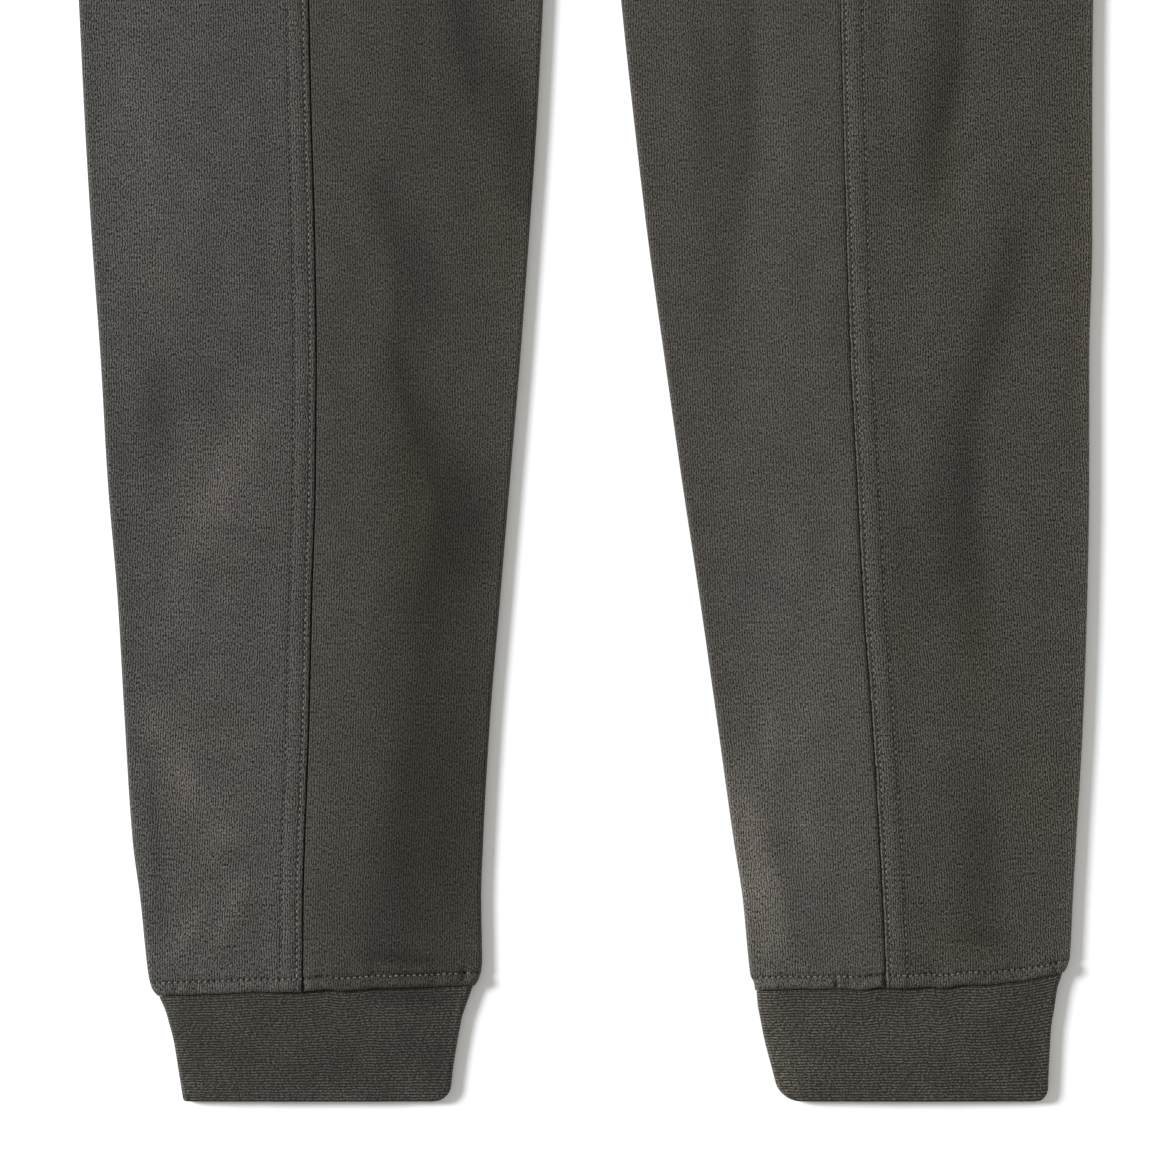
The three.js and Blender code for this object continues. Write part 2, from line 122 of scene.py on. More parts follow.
# The photograph's frame, and how much of the cooler tone is lost above it
PIXEL = 0.46
PHOTO_SIDE = 1160
PHOTO_MIDDLE_X = 585
PHOTO_CUFF_BOTTOM_Y = 1102
PHOTO_TOP = 507.0
COOL_LOST = 0.7

# A stroke: points along it, how many widths it reaches, and its share at its two ends
STROKE_POINTS = 25
STROKE_REACH = 3.2
STROKE_ENDS = 0.25

# The waves of uneven cloth: how they stretch up the leg, and how their height goes with length
RIPPLE_UP = 0.7
RIPPLE_POWER = 0.7

Grid = np.ndarray
Socket = bpy.types.NodeSocket


def mix(low: Grid | float, high: Grid | float, share: Grid | float) -> Grid | float:
    """Blend from low to high by a share."""
    return low + (high - low) * share


def smoothstep(value: Grid | float, low: float, high: float) -> Grid:
    """Rise smoothly from 0 at low to 1 at high."""
    share = np.clip((value - low) / (high - low), 0.0, 1.0)
    return share * share * (3.0 - 2.0 * share)


def bell(value: Grid, half_width: float) -> Grid:
    """A soft bump, 1 at 0 and about a third at its half width."""
    return np.exp(-((value / half_width) ** 2))


def quarter_round(value: Grid, reach: float) -> Grid:
    """A quarter round, from 0 at an edge to 1 at its reach."""
    return np.sqrt(np.clip(1.0 - ((reach - value) / reach).clip(0, 1) ** 2, 0, 1))


class Course:
    """A smooth curve through a table's rows that never runs past them."""

    def __init__(self, rises: Sequence[float], values: Sequence[float]) -> None:
        """Keep the rows and work out the curve's slope at each.

        Args:
            rises: the rows' heights up the garment, going up.
            values: the value at each row.
        """
        self.rises = np.asarray(rises, float)
        self.values = np.asarray(values, float)
        slopes = np.diff(self.values) / np.diff(self.rises)
        below, above = slopes[:-1], slopes[1:]
        same_way = below * above > 0
        safe = np.where(same_way, below + above, 1.0)
        middle = np.where(same_way, 2 * below * above / safe, 0.0)
        self.tangents = np.concatenate([slopes[:1], middle, slopes[-1:]])

    def __call__(self, rise: Grid | float) -> Grid:
        """The curve's value at any rise."""
        held = np.clip(rise, self.rises[0], self.rises[-1])
        k = np.clip(np.searchsorted(self.rises, held, side="right") - 1, 0, len(self.rises) - 2)
        span = self.rises[k + 1] - self.rises[k]
        t = (held - self.rises[k]) / span
        return (
            self.values[k] * (1 + 2 * t) * (1 - t) ** 2
            + self.tangents[k] * span * t * (1 - t) ** 2
            + self.values[k + 1] * t * t * (3 - 2 * t)
            - self.tangents[k + 1] * span * t * t * (1 - t)
        )


@dataclass(frozen=True)
class Stroke:
    """One soft crease, or one streak of painted shading: a curve that bends from one point to another."""

    x0: float
    r0: float
    xb: float
    rb: float
    x1: float
    r1: float
    width: float
    amount: float
    lean: float = 0.0

    def at(self, x: Grid, rise: Grid) -> Grid:
        """How much of the stroke lies at each point.

        Args:
            x: distance from the middle line at each point.
            rise: height up the garment at each point.

        Returns:
            The amount at each point, negative in a trough or a darker streak. A stroke that leans is
            steeper on its side away from the middle line when its lean is positive.
        """
        t = np.linspace(0.0, 1.0, STROKE_POINTS)
        curve_x = mix(mix(self.x0, self.xb, t), mix(self.xb, self.x1, t), t)
        curve_r = mix(mix(self.r0, self.rb, t), mix(self.rb, self.r1, t), t)
        reach = STROKE_REACH * self.width
        near = (
            (x > curve_x.min() - reach)
            & (x < curve_x.max() + reach)
            & (rise > curve_r.min() - reach)
            & (rise < curve_r.max() + reach)
        )
        total = np.zeros(np.broadcast(x, rise).shape)
        px, pr = x[near], rise[near]
        if not px.size:
            return total
        best = np.full(px.shape, np.inf)
        where = np.zeros(px.shape)
        side = np.zeros(px.shape)
        for k in range(len(t) - 1):
            ax, ar = curve_x[k], curve_r[k]
            dx, dr = curve_x[k + 1] - ax, curve_r[k + 1] - ar
            along = np.clip(((px - ax) * dx + (pr - ar) * dr) / (dx * dx + dr * dr), 0.0, 1.0)
            gap = np.hypot(px - ax - along * dx, pr - ar - along * dr)
            closer = gap < best
            best = np.where(closer, gap, best)
            where = np.where(closer, (k + along) / (len(t) - 1), where)
            side = np.where(closer, np.sign(px - ax - along * dx), side)
        width = self.width * (1.0 - self.lean * side)
        fade = mix(STROKE_ENDS, 1.0, np.sin(np.pi * where))
        total[near] = self.amount * fade * bell(best, width)
        return total


class Ripple:
    """The slight unevenness of cloth that lies by its own weight: a sum of long soft waves."""

    def __init__(self, seed: int, shortest: float, longest: float, height: float, waves: int = 26) -> None:
        """Draw the waves.

        Args:
            seed: picks the waves, so that each run draws the same ones.
            shortest: length of the shortest wave.
            longest: length of the longest wave.
            height: usual height of the sum.
            waves: how many there are.
        """
        draw = np.random.RandomState(seed)
        length = np.exp(draw.uniform(math.log(shortest), math.log(longest), waves))
        turn = draw.uniform(0, 2 * math.pi, waves)
        self.across = 2 * math.pi * np.cos(turn) / length
        self.up = 2 * math.pi * np.sin(turn) / length * RIPPLE_UP
        self.phase = draw.uniform(0, 2 * math.pi, waves)
        self.height = height * (length / longest) ** RIPPLE_POWER * math.sqrt(2.0 / waves)

    def __call__(self, x: Grid, rise: Grid) -> Grid:
        """The height of the ripple at each point."""
        total = np.zeros(np.broadcast(x, rise).shape)
        for across, up, phase, height in zip(self.across, self.up, self.phase, self.height):
            total += height * np.sin(across * x + up * rise + phase)
        return total


@dataclass(frozen=True)
class Patch:
    """A faint patch of another tone: redder, olive where its red is below 0, as garment dyeing leaves it, and
    lighter or darker, which is partly dye and partly painted shade and light.
    """

    x: float
    rise: float
    half_x: float
    half_rise: float
    red: float
    # Partly the dye's mottling and partly painted shade and light
    light: float
    cool: float = 0.0


class Side(Enum):
    """The wearer's right or left leg, with the sign of its place across."""

    RIGHT = -1
    LEFT = 1

    @property
    def word(self) -> str:
        """The side's name in node names."""
        return self.name.lower()


# Outlines of the legs and the cuffs, up from the bottom
OUTLINE = ("rise", "outer", "seam", "inner")
RIGHT_OUTLINE = (
    (52, 196.8, 130.2, 50.6),
    (55, 199.2, 130.1, 48.9),
    (59, 200.6, 130.1, 47.8),
    (64, 201.5, 130.0, 47.4),
    (93, 204.7, 129.8, 47.8),
    (120, 208.4, 129.0, 46.9),
    (176, 212.1, 127.0, 43.7),
    (231, 215.3, 125.8, 39.1),
    (286, 219.9, 124.1, 34.5),
    (341, 223.1, 123.7, 29.9),
    (397, 227.2, 124.4, 25.8),
    (452, 230.5, 126.0, 22.1),
    (507, 233.2, 127.2, 19.3),
    (570, 236.3, 129.0, 16.6),
    (640, 239.7, 131.0, 11.5),
    (700, 242.7, 132.8, 2.4),
    (714, 243.3, 133.2, 0.15),
    (800, 246.0, 134.0, 0.15),
    (880, 240.0, 132.0, 0.15),
    (930, 219.0, 123.0, 0.15),
    (956, 204.0, 115.0, 0.15),
)
LEFT_OUTLINE = (
    (52, 220.9, 138.5, 78.3),
    (55, 222.3, 138.5, 77.9),
    (59, 223.4, 138.4, 76.2),
    (66, 223.8, 138.2, 75.3),
    (93, 224.9, 136.9, 72.7),
    (120, 226.3, 135.5, 68.5),
    (176, 229.5, 132.0, 60.7),
    (231, 231.4, 127.9, 52.9),
    (286, 232.3, 125.1, 44.6),
    (341, 232.3, 122.1, 36.8),
    (397, 233.7, 120.2, 29.0),
    (452, 233.7, 118.7, 22.5),
    (507, 234.1, 117.6, 16.6),
    (570, 236.2, 119.0, 10.6),
    (640, 239.4, 122.5, 5.2),
    (700, 242.6, 127.0, 1.3),
    (714, 243.3, 128.0, 0.15),
    (800, 246.0, 132.0, 0.15),
    (880, 240.0, 131.5, 0.15),
    (930, 219.0, 123.0, 0.15),
    (956, 204.0, 115.0, 0.15),
)
CUFF_OUTLINE = ("rise", "outer", "inner")
RIGHT_CUFF = (
    (0, 185.0, 62.4),
    (15, 187.2, 60.7),
    (30, 189.5, 58.2),
    (38, 191.4, 56.6),
    (45, 193.3, 54.2),
    (52, 196.2, 51.6),
)
LEFT_CUFF = (
    (0, 213.0, 90.0),
    (15, 213.8, 86.2),
    (30, 214.8, 82.4),
    (38, 216.3, 80.9),
    (45, 217.5, 79.6),
    (52, 220.0, 79.0),
)

# Creases: from, by way of and to, each as a distance across and a rise; then width, height and lean
RIGHT_FOLDS = (
    Stroke(64, 540, 56, 490, 42, 436, 13, -2.1, 0.4),
    Stroke(90, 430, 74, 386, 72, 340, 13, -1.7, 0.2),
    Stroke(86, 352, 64, 280, 76, 214, 14, -3.0, 0.35),
    Stroke(72, 214, 66, 150, 84, 70, 24, -1.5, 0.3),
    Stroke(142, 340, 150, 300, 166, 276, 16, 0.9, 0.2),
    Stroke(160, 300, 178, 268, 192, 212, 14, 1.1, 0.3),
    Stroke(209, 286, 190, 320, 160, 336, 13, -1.6),
    Stroke(175, 266, 156, 260, 136, 254, 4, -0.7),
    Stroke(200, 186, 192, 158, 162, 119, 12, 1.2, 0.2),
    Stroke(183, 160, 180, 150, 176, 146, 4, 0.6),
    Stroke(158, 104, 162, 88, 173, 72, 7, 1.5),
    Stroke(176, 93, 182, 80, 194, 64, 6, 1.3),
    Stroke(200, 165, 198, 120, 194, 82, 4, -1.4),
    Stroke(214, 330, 213, 295, 212, 250, 5, -0.9),
    Stroke(98, 67.5, 88, 66, 78, 65, 2.6, -2.0),
    Stroke(86, 65.5, 74, 64, 62, 63, 2.6, -4.2),
    Stroke(92, 63, 80, 61, 64, 60.5, 2.4, 1.6),
    Stroke(190, 640, 175, 570, 182, 500, 18, -1.8),
    Stroke(8, 735, 40, 752, 84, 800, 13, -2.4),
    Stroke(12, 690, 50, 668, 86, 618, 15, -2.2),
    Stroke(40, 860, 60, 800, 120, 770, 17, -1.4),
    Stroke(200, 860, 180, 800, 196, 740, 17, 1.8),
    Stroke(170, 700, 196, 660, 222, 650, 13, -1.5),
)
LEFT_FOLDS = (
    Stroke(182, 535, 178, 466, 160, 404, 14, -1.6, -0.2),
    Stroke(211, 420, 172, 312, 190, 206, 13, -1.6, -0.2),
    Stroke(62, 540, 90, 450, 62, 330, 17, -1.4, 0.1),
    Stroke(74, 152, 82, 110, 86, 62, 10, 1.8, -0.2),
    Stroke(184, 152, 188, 116, 194, 76, 12, -1.3),
    Stroke(206, 104, 214, 88, 212, 68, 5, -1.2),
    Stroke(168, 74, 184, 77, 196, 72, 5, -1.0),
    Stroke(150, 330, 156, 240, 150, 160, 14, 0.6),
    Stroke(140, 202, 145, 210, 151, 212, 2.6, -0.9),
    Stroke(186, 650, 196, 590, 176, 540, 17, -1.8),
    Stroke(8, 738, 44, 744, 92, 784, 13, -2.4),
    Stroke(14, 684, 46, 656, 74, 606, 15, -2.2),
    Stroke(36, 870, 70, 820, 124, 790, 17, -1.4),
    Stroke(206, 850, 186, 790, 198, 728, 17, 1.8),
    Stroke(168, 706, 190, 676, 224, 668, 13, -1.5),
)

# Patches of dye and painted shade: place, half sizes, and how red, light and cool they are; how light
# is partly painted shade and light
RIGHT_DYE_AND_PAINTED_SHADE_PATCHES = (
    Patch(160, 280, 32, 46, 1.0, 0.055),
    Patch(174, 150, 28, 44, 1.0, 0.0),
    Patch(168, 86, 16, 18, 0.9, 0.0),
    Patch(195, 374, 12, 22, 0.6, 0.0),
    Patch(137, 392, 10, 24, 0.7, 0.0),
    Patch(120, 250, 12, 40, 0.4, 0.0),
    Patch(160, 272, 15, 17, 0.0, 0.06),
    Patch(93, 421, 9, 18, 0.0, -0.07),
    Patch(48, 263, 12, 24, 0.0, -0.08),
    Patch(75, 260, 45, 420, 0.0, -0.095),
    Patch(176, 130, 40, 90, 0.0, 0.06),
    Patch(60, 470, 30, 60, 0.0, -0.02),
    Patch(170, 322, 9, 13, 0.0, -0.08),
    Patch(175, 240, 6, 14, 0.0, -0.06),
    Patch(182, 205, 12, 6, 0.0, -0.06),
    Patch(198, 176, 8, 8, 0.0, 0.06),
    Patch(184, 150, 7, 8, 0.0, 0.08),
    Patch(166, 123, 8, 6, 0.0, 0.1),
    Patch(162, 114, 6, 5, 0.0, -0.09),
    Patch(203, 70, 5, 9, 0.0, 0.12),
    Patch(216, 430, 18, 110, 0.0, 0.05),
    Patch(176, 342, 20, 22, 0.0, -0.045),
    Patch(56, 120, 22, 80, 0.0, -0.06),
    Patch(62, 160, 26, 110, -0.9, 0.0),
    Patch(76, 285, 14, 50, -1.0, 0.0),
    Patch(38, 420, 14, 60, -0.7, 0.0),
    Patch(108, 200, 16, 100, 0.0, 0.04),
)
LEFT_DYE_AND_PAINTED_SHADE_PATCHES = (
    Patch(80, 440, 20, 50, 0.3, 0.0),
    Patch(110, 180, 24, 60, 0.3, 0.0),
    Patch(205, 300, 20, 60, 0.2, 0.0),
    Patch(87, 121, 5, 6, 0.0, -0.07),
    Patch(103, 92, 11, 14, 0.0, -0.045, 0.9),
    Patch(84, 236, 24, 14, 0.0, -0.02, 0.8),
    Patch(152, 64, 6, 6, 0.0, -0.09),
    Patch(96, 340, 22, 120, 0.0, 0.02),
    Patch(96, 150, 34, 110, 0.0, 0.105),
    Patch(78, 240, 8, 8, 0.0, -0.04),
    Patch(152, 242, 16, 34, 0.0, -0.045),
    Patch(179, 212, 10, 42, -0.9, 0.0),
    Patch(209, 144, 20, 30, -0.7, 0.0),
    Patch(175, 74, 26, 12, -0.9, 0.0),
    Patch(145, 217, 4, 36, -0.8, 0.0),
    Patch(162, 440, 13, 54, -0.9, 0.0),
    Patch(228, 400, 11, 110, -0.9, 0.0),
    Patch(190, 350, 12, 50, -0.6, 0.0),
)

# Painted shade and highlights of the creases, as streaks laid out as the creases are
RIGHT_PAINTED_SHADING_STREAKS = (
    Stroke(60, 524, 54, 484, 47, 446, 8, -0.21, 0.35),
    Stroke(37, 482, 26, 446, 30, 400, 9, -0.23),
    Stroke(81, 408, 72, 382, 72, 346, 8, -0.15),
    Stroke(87, 354, 82, 322, 70, 288, 7, -0.2, 0.4),
    Stroke(75, 304, 54, 272, 78, 218, 13, -0.31, 0.4),
    Stroke(72, 240, 64, 130, 116, 20, 27, -0.22, 0.45),
    Stroke(205, 482, 199, 414, 192, 352, 7, 0.06),
    Stroke(201, 346, 193, 316, 201, 286, 9, -0.13),
    Stroke(213, 330, 213.5, 295, 212, 255, 3.5, -0.05),
    Stroke(145, 348, 146, 314, 161, 284, 9, 0.06),
    Stroke(158, 306, 178, 272, 191, 210, 8, 0.08),
    Stroke(173, 266, 154, 259, 136, 253, 2.2, -0.08),
    Stroke(200, 184, 193, 158, 164, 121, 9, 0.08),
    Stroke(200, 163, 199, 118, 194, 82, 2.8, -0.11),
    Stroke(208, 158, 206, 116, 200, 88, 2.6, 0.06),
    Stroke(158, 106, 160, 88, 173, 70, 4.6, 0.13),
    Stroke(175, 94, 182, 79, 194, 64, 4.4, 0.13),
    Stroke(98, 67.5, 80, 65, 62, 63, 2.0, -0.2),
    Stroke(92, 58.6, 78, 58.2, 62, 57.9, 1.3, -0.24),
)
LEFT_PAINTED_SHADING_STREAKS = (
    Stroke(72, 518, 78, 470, 71, 404, 6.5, -0.12, 0.4),
    Stroke(57, 518, 51, 462, 63, 384, 10, -0.1),
    Stroke(64, 402, 57, 368, 62, 326, 8, -0.06),
    Stroke(171, 518, 169, 464, 156, 408, 10, -0.2, 0.35),
    Stroke(205, 416, 192, 366, 177, 320, 8, -0.15),
    Stroke(178, 332, 166, 276, 182, 206, 10.5, -0.19, 0.2),
    Stroke(84, 190, 84, 168, 85, 148, 4.2, 0.1),
    Stroke(69, 160, 76, 116, 84, 50, 11, 0.25, 0.2),
    Stroke(86, 114, 90, 92, 92, 64, 4.6, 0.13, 0.35),
    Stroke(98, 136, 104, 120, 109, 108, 3.2, 0.08),
    Stroke(147, 288, 150, 248, 147, 188, 8, -0.06),
    Stroke(176, 156, 180, 110, 186, 50, 13, -0.12),
    Stroke(167, 74, 184, 77, 196, 72, 4, -0.11),
)

# Painted shade and highlights on the cuffs, under the hem and along their edges, and how far a cuff's
# dye is from the front's to the outer panel's
CUFF_COOL = 0.4
RIGHT_CUFF_PAINTED_SHADING = (
    Stroke(199, 85, 188, 27, 179, -30, 6, 0.13),
    Stroke(47, 85, 60, 27, 67, -30, 4, 0.12),
    Stroke(106, 49, 84, 49, 60, 47, 5.5, -0.24),
    Stroke(66, 46, 62, 26, 68, 4, 11, -0.09),
    Stroke(120, 50, 124, 26, 122, 0, 70, -0.105),
    Stroke(58, 51, 59.5, 30, 61.2, 6.4, 0.9, 0.2),
)
LEFT_CUFF_PAINTED_SHADING = (
    Stroke(75, 85, 87, 27, 99, -30, 8, 0.2),
    Stroke(222, 85, 214.5, 27, 209, -30, 4, 0.16),
    Stroke(196, 46, 202, 26, 200, 2, 12, -0.06),
    Stroke(98, 46, 100, 26, 104, 4, 12, 0.04),
)


@dataclass(frozen=True)
class Dimple:
    """A small bump or pit of the hem band, where the cloth bunches under the needle."""

    x: float
    above: float
    half_x: float
    half_above: float
    lift: float


# Dimples: place across and over the hem, half sizes and height
RIGHT_DIMPLES = (
    Dimple(55.6, 5.2, 1.1, 2.6, -1.5),
    Dimple(51.6, 5.0, 2.4, 3.0, 0.9),
    Dimple(129.3, 3.0, 0.9, 3.2, -1.3),
    Dimple(86.0, 1.6, 18.0, 4.5, 1.0),
    Dimple(84.0, 2.4, 1.6, 2.0, 0.4),
    Dimple(160.0, 2.2, 2.2, 2.0, 0.4),
    Dimple(188.0, 3.2, 1.2, 2.4, -0.6),
)
LEFT_DIMPLES = (
    Dimple(216.6, 3.4, 1.1, 3.0, -1.4),
    Dimple(219.6, 4.0, 2.0, 3.4, 0.9),
    Dimple(115.5, 2.2, 0.8, 2.6, -1.6),
    Dimple(137.6, 3.0, 0.9, 3.2, -1.2),
    Dimple(88.0, 2.2, 1.8, 2.0, 0.5),
    Dimple(176.0, 2.4, 2.0, 2.2, 0.5),
)


@dataclass(frozen=True)
class Trace:
    """A soft line along the forward seam or the hem: how far off it lies, half its width, its amount."""

    at: float
    half: float
    amount: float = 1.0

    def on(self, offset: Grid) -> Grid:
        """How much of the line there is at each distance off."""
        return self.amount * bell(offset - self.at, self.half)


# Relief along the forward seam and the hem
LAP_RIDGE = Trace(1.0, 0.8, 0.12)
LAP_SWELL = Trace(6.1, 2.6, 0.42)
ROW_GROOVES = (Trace(NEAR_ROW, 0.62, 0.28), Trace(FAR_ROW, 0.62, 0.28))
HEM_GROOVE = Trace(HEM_ROW, 0.75, -0.55)
HEM_SWELL = Trace(8.6, 2.2, 0.3)
HEM_PUCKER = Trace(4.5, 6.5)

# Tone along the forward seam, the hem and the leg's two folds: painted light and shade along the
# seam's fold and the far row, painted highlights on the two folds, and lighter lap and hem bands
FOLD_PAINTED_LIGHT = Trace(-0.35, 0.35)
FRONT_PAINTED_SHADE = Trace(-1.1, 0.9)
LAP_TOP_PAINTED_SHADE = Trace(1.4, 0.8, 0.4)
FAR_ROW_PAINTED_SHADE = Trace(FAR_ROW + 0.5, 0.9)
LAP_BAND_LIGHTER = Trace((NEAR_ROW + FAR_ROW) / 2, LAP_WIDTH / 3, 0.035)
HEM_BAND_LIGHTER = Trace(HEM_ROW / 2, HEM_ROW / 2, 0.03)
PAINTED_RIM_HIGHLIGHT = Trace(0.0, 2.6)


@dataclass
class Leg:
    """How one leg lies: its outline, hem, folds and tones."""

    side: Side
    outline: Sequence[Sequence[float]]
    cuff: Sequence[Sequence[float]]
    folds: Sequence[Stroke]
    patches: Sequence[Patch]
    painted_shading_streaks: Sequence[Stroke]
    cuff_painted_shading: Sequence[Stroke]
    dimples: Sequence[Dimple]

    # Rise of the hem at its two ends, and how much further it climbs close to the outer one
    hem_outer: float
    hem_inner: float
    hem_kick: float

    # Radius of the cuff's bottom corners
    corner_outer: float
    corner_inner: float

    # How far the dye of the front and of the outer panel leans to the cooler tone
    cool_front: float
    cool_outer: float

    # Painted light along the seam's fold at the hem and at the crotch, painted shade where below 0, and
    # the painted shade on the cloth beside it
    fold_painted_light_low: float
    fold_painted_light_high: float
    beside_fold_painted_shade: float

    # How deep the seam's fold draws in at the hem and at the crotch
    draw_low: float
    draw_high: float

    # How much lighter the far row is at the hem, painted shade where below 0, and the painted highlights
    # on the leg's outer and inner folds
    far_row_painted_shade: float
    rim_outer: float
    rim_inner: float

    def __post_init__(self) -> None:
        """Turn the outlines into curves and draw the cloth's unevenness."""
        rows = dict(zip(OUTLINE, zip(*self.outline)))
        self.outer, self.seam, self.inner = (Course(rows["rise"], rows[n]) for n in OUTLINE[1:])
        rows = dict(zip(CUFF_OUTLINE, zip(*self.cuff)))
        self.cuff_outer, self.cuff_inner = (Course(rows["rise"], rows[n]) for n in CUFF_OUTLINE[1:])
        sign = self.side.value
        self.ripple = Ripple(seed=11 + sign, shortest=22.0, longest=90.0, height=0.4)
        self.pucker = Ripple(seed=31 + sign, shortest=5.0, longest=16.0, height=0.34, waves=24)
        self.sag = Ripple(seed=61 + sign, shortest=8.0, longest=44.0, height=0.5, waves=18)

    def hem_at(self, across: Grid) -> Grid:
        """Rise of the hem from the inner edge (0) to the outer one (1)."""
        level = mix(self.hem_inner, self.hem_outer, across) + self.hem_kick * across**HEM_KICK_POWER
        return level + self.sag(HEM_SPAN * across, 0.0) * np.sin(np.pi * across)

    def roll(self, rise: Grid) -> Grid:
        """1 where the leg has an inner edge of its own, and 0 above the crotch."""
        return 1.0 - smoothstep(rise, CROTCH - CROTCH_BLEND, CROTCH)

    def up_leg(self, rise: Grid) -> Grid:
        """Share of the way from the hem to the crotch."""
        return smoothstep(rise, HEM, CROTCH)

    def wall(self, x: Grid, rise: Grid) -> Grid:
        """Thickness of the upper wall, swollen in the hem band and puckered along its stitches."""
        above = rise - HEM
        end = quarter_round(above, HEM_ROUND)
        puff = HEM_PUFF * (1.0 - smoothstep(above, HEM_PUFF_TOP, HEM_ROW)) * mix(HEM_PUFF_LEAST, 1.0, end)
        pucker = self.pucker(x, PUCKER_STRETCH * rise) * HEM_PUCKER.on(above)
        pucker = pucker * smoothstep(above, *PUCKER_START)
        bunched = sum(
            d.lift * bell(x - d.x, d.half_x) * bell(above - d.above, d.half_above) for d in self.dimples
        )
        band = FLEECE + puff - HEM_TUCK * (1.0 - end) + HEM_GROOVE.on(above) + HEM_SWELL.on(above)
        return band + pucker + bunched * smoothstep(above, 0.0, 1.0)

    def air(self, x: Grid, rise: Grid) -> Grid:
        """The air between the two layers.

        Args:
            x: distance from the middle line at each point.
            rise: height up the garment at each point.

        Returns:
            The height of the upper layer's inside over the lower layer.
        """
        x, rise = np.broadcast_arrays(x, rise)
        from_outer = smoothstep(self.outer(rise) - x, 0.0, CROWN_REACH)
        from_inner = mix(1.0, smoothstep(x - self.inner(rise), 0.0, CROWN_REACH), self.roll(rise))
        lift = sum(fold.at(x, rise) for fold in self.folds) + self.ripple(x, rise)
        gathered = smoothstep(rise, WAIST_SEAM - GATHER_REACH, WAIST_SEAM)
        turns = 2 * math.pi * x / (2 * BAND_HALF_BOTTOM / BAND_GATHERS)
        sway = GATHER_SWAY * np.sin(x / GATHER_SWAY_SPAN)
        wave = np.cos(turns + sway + GATHER_LEAN * (rise - WAIST_SEAM))
        settled = smoothstep(rise, HEM, HEM + HEM_SETTLE)
        full = mix(HEM_CROWN, 1.0, smoothstep(rise, HEM, HEM + CROWN_REACH))
        crown = CROWN_AIR * full + lift * settled + gathered**2 * wave
        return np.clip(EDGE_AIR + from_outer * from_inner * crown, LEAST_AIR, MOST_AIR)

    def floor(self, x: Grid, rise: Grid) -> Grid:
        """Height of the upper layer's inside, straight across the lapped seam."""
        seam = self.seam(rise)
        low = FLEECE + self.air(seam - LAP_EASE, rise)
        high = FLEECE + self.air(seam + LAP_SHOULDER, rise)
        share = (x - seam + LAP_EASE) / (LAP_SHOULDER + LAP_EASE)
        plain = FLEECE + self.air(x, rise)
        return np.where((share > 0) & (share < 1), mix(low, high, share), plain)

    def tone(self, x: Grid, rise: Grid) -> Grid:
        """The colour at each point: dye, with painted shade and highlights laid over it.

        Args:
            x: distance from the middle line at each point.
            rise: height up the garment at each point.

        Returns:
            The share of the redder tone, below 0 for olive, how much lighter the cloth is, partly dye and
            partly painted shade and light, and the share of the cooler tone, last in the array.
        """
        x, rise = np.broadcast_arrays(x, rise)
        offset = x - self.seam(rise)
        shown = 1.0 - COOL_LOST * smoothstep(rise, PHOTO_TOP, CROTCH + CROWN_REACH)
        cool = mix(self.cool_front, self.cool_outer, smoothstep(offset, -1.0, 1.0)) * shown
        red, light = np.zeros(x.shape), np.zeros(x.shape)
        for patch in self.patches:
            far = ((x - patch.x) / patch.half_x) ** 2 + ((rise - patch.rise) / patch.half_rise) ** 2
            red += patch.red * np.exp(-far)
            # Lightness of the patches: partly dye, partly painted shade and light
            light += patch.light * np.exp(-far)
            cool += patch.cool * np.exp(-far)
        # Painted shade and highlights of the creases
        light += sum(streak.at(x, rise) for streak in self.painted_shading_streaks)
        # Painted highlights on the leg's outer and inner folds
        light += self.rim_outer * PAINTED_RIM_HIGHLIGHT.on(self.outer(rise) - x)
        light += self.rim_inner * PAINTED_RIM_HIGHLIGHT.on(x - self.inner(rise)) * self.roll(rise)
        # The lap band and the hem band are a little lighter
        light += LAP_BAND_LIGHTER.on(offset)
        light += HEM_BAND_LIGHTER.on(rise - HEM)
        # Painted light along the crevice of the seam's fold, painted shade where below 0
        light += mix(self.fold_painted_light_low, self.fold_painted_light_high, self.up_leg(rise)) * FOLD_PAINTED_LIGHT.on(offset)
        # Painted shade along the far row, strongest at the hem
        light += self.far_row_painted_shade * (1.0 - self.up_leg(rise)) * FAR_ROW_PAINTED_SHADE.on(offset)
        # Painted shade on the cloth beside the seam's fold
        light += self.beside_fold_painted_shade * (FRONT_PAINTED_SHADE.on(offset) + LAP_TOP_PAINTED_SHADE.on(offset))
        return np.stack([red, light, cool * np.clip(1.0 - np.abs(red), 0.0, 1.0)], axis=-1)

    def cuff_tone(self, x: Grid, rise: Grid) -> Grid:
        """The rib's colour at each point, in the same three shares as the legs': its lightness is painted
        shade and highlights.
        """
        # Painted shade under the hem and painted highlights along the cuff's edges
        light = sum(streak.at(x, rise) for streak in self.cuff_painted_shading)
        cool = mix(self.cool_front, self.cool_outer, CUFF_COOL)
        return np.stack([0 * light, light, cool + 0 * light], axis=-1)

    def above_hem(self, rise: Grid) -> Grid:
        """How much of the hem's slope is left at a rise."""
        return 1.0 - smoothstep(rise, HEM, HEM + HEM_FADE)

    def place(self, x: Grid, rise: Grid, z: Grid) -> Grid:
        """Points in the frame, in millimetres.

        Args:
            x: distance from the middle line.
            rise: height up the garment before the hem's slope.
            z: height off the surface.

        Returns:
            An array of points with X, Y and Z last.
        """
        x, rise, z = np.broadcast_arrays(x, rise, z)
        across = np.clip((x - self.inner(rise)) / (self.outer(rise) - self.inner(rise)), 0, 1)
        y = rise + (self.hem_at(across) - HEM) * self.above_hem(rise) - LENGTH / 2
        return np.stack([self.side.value * x, y, z], axis=-1)


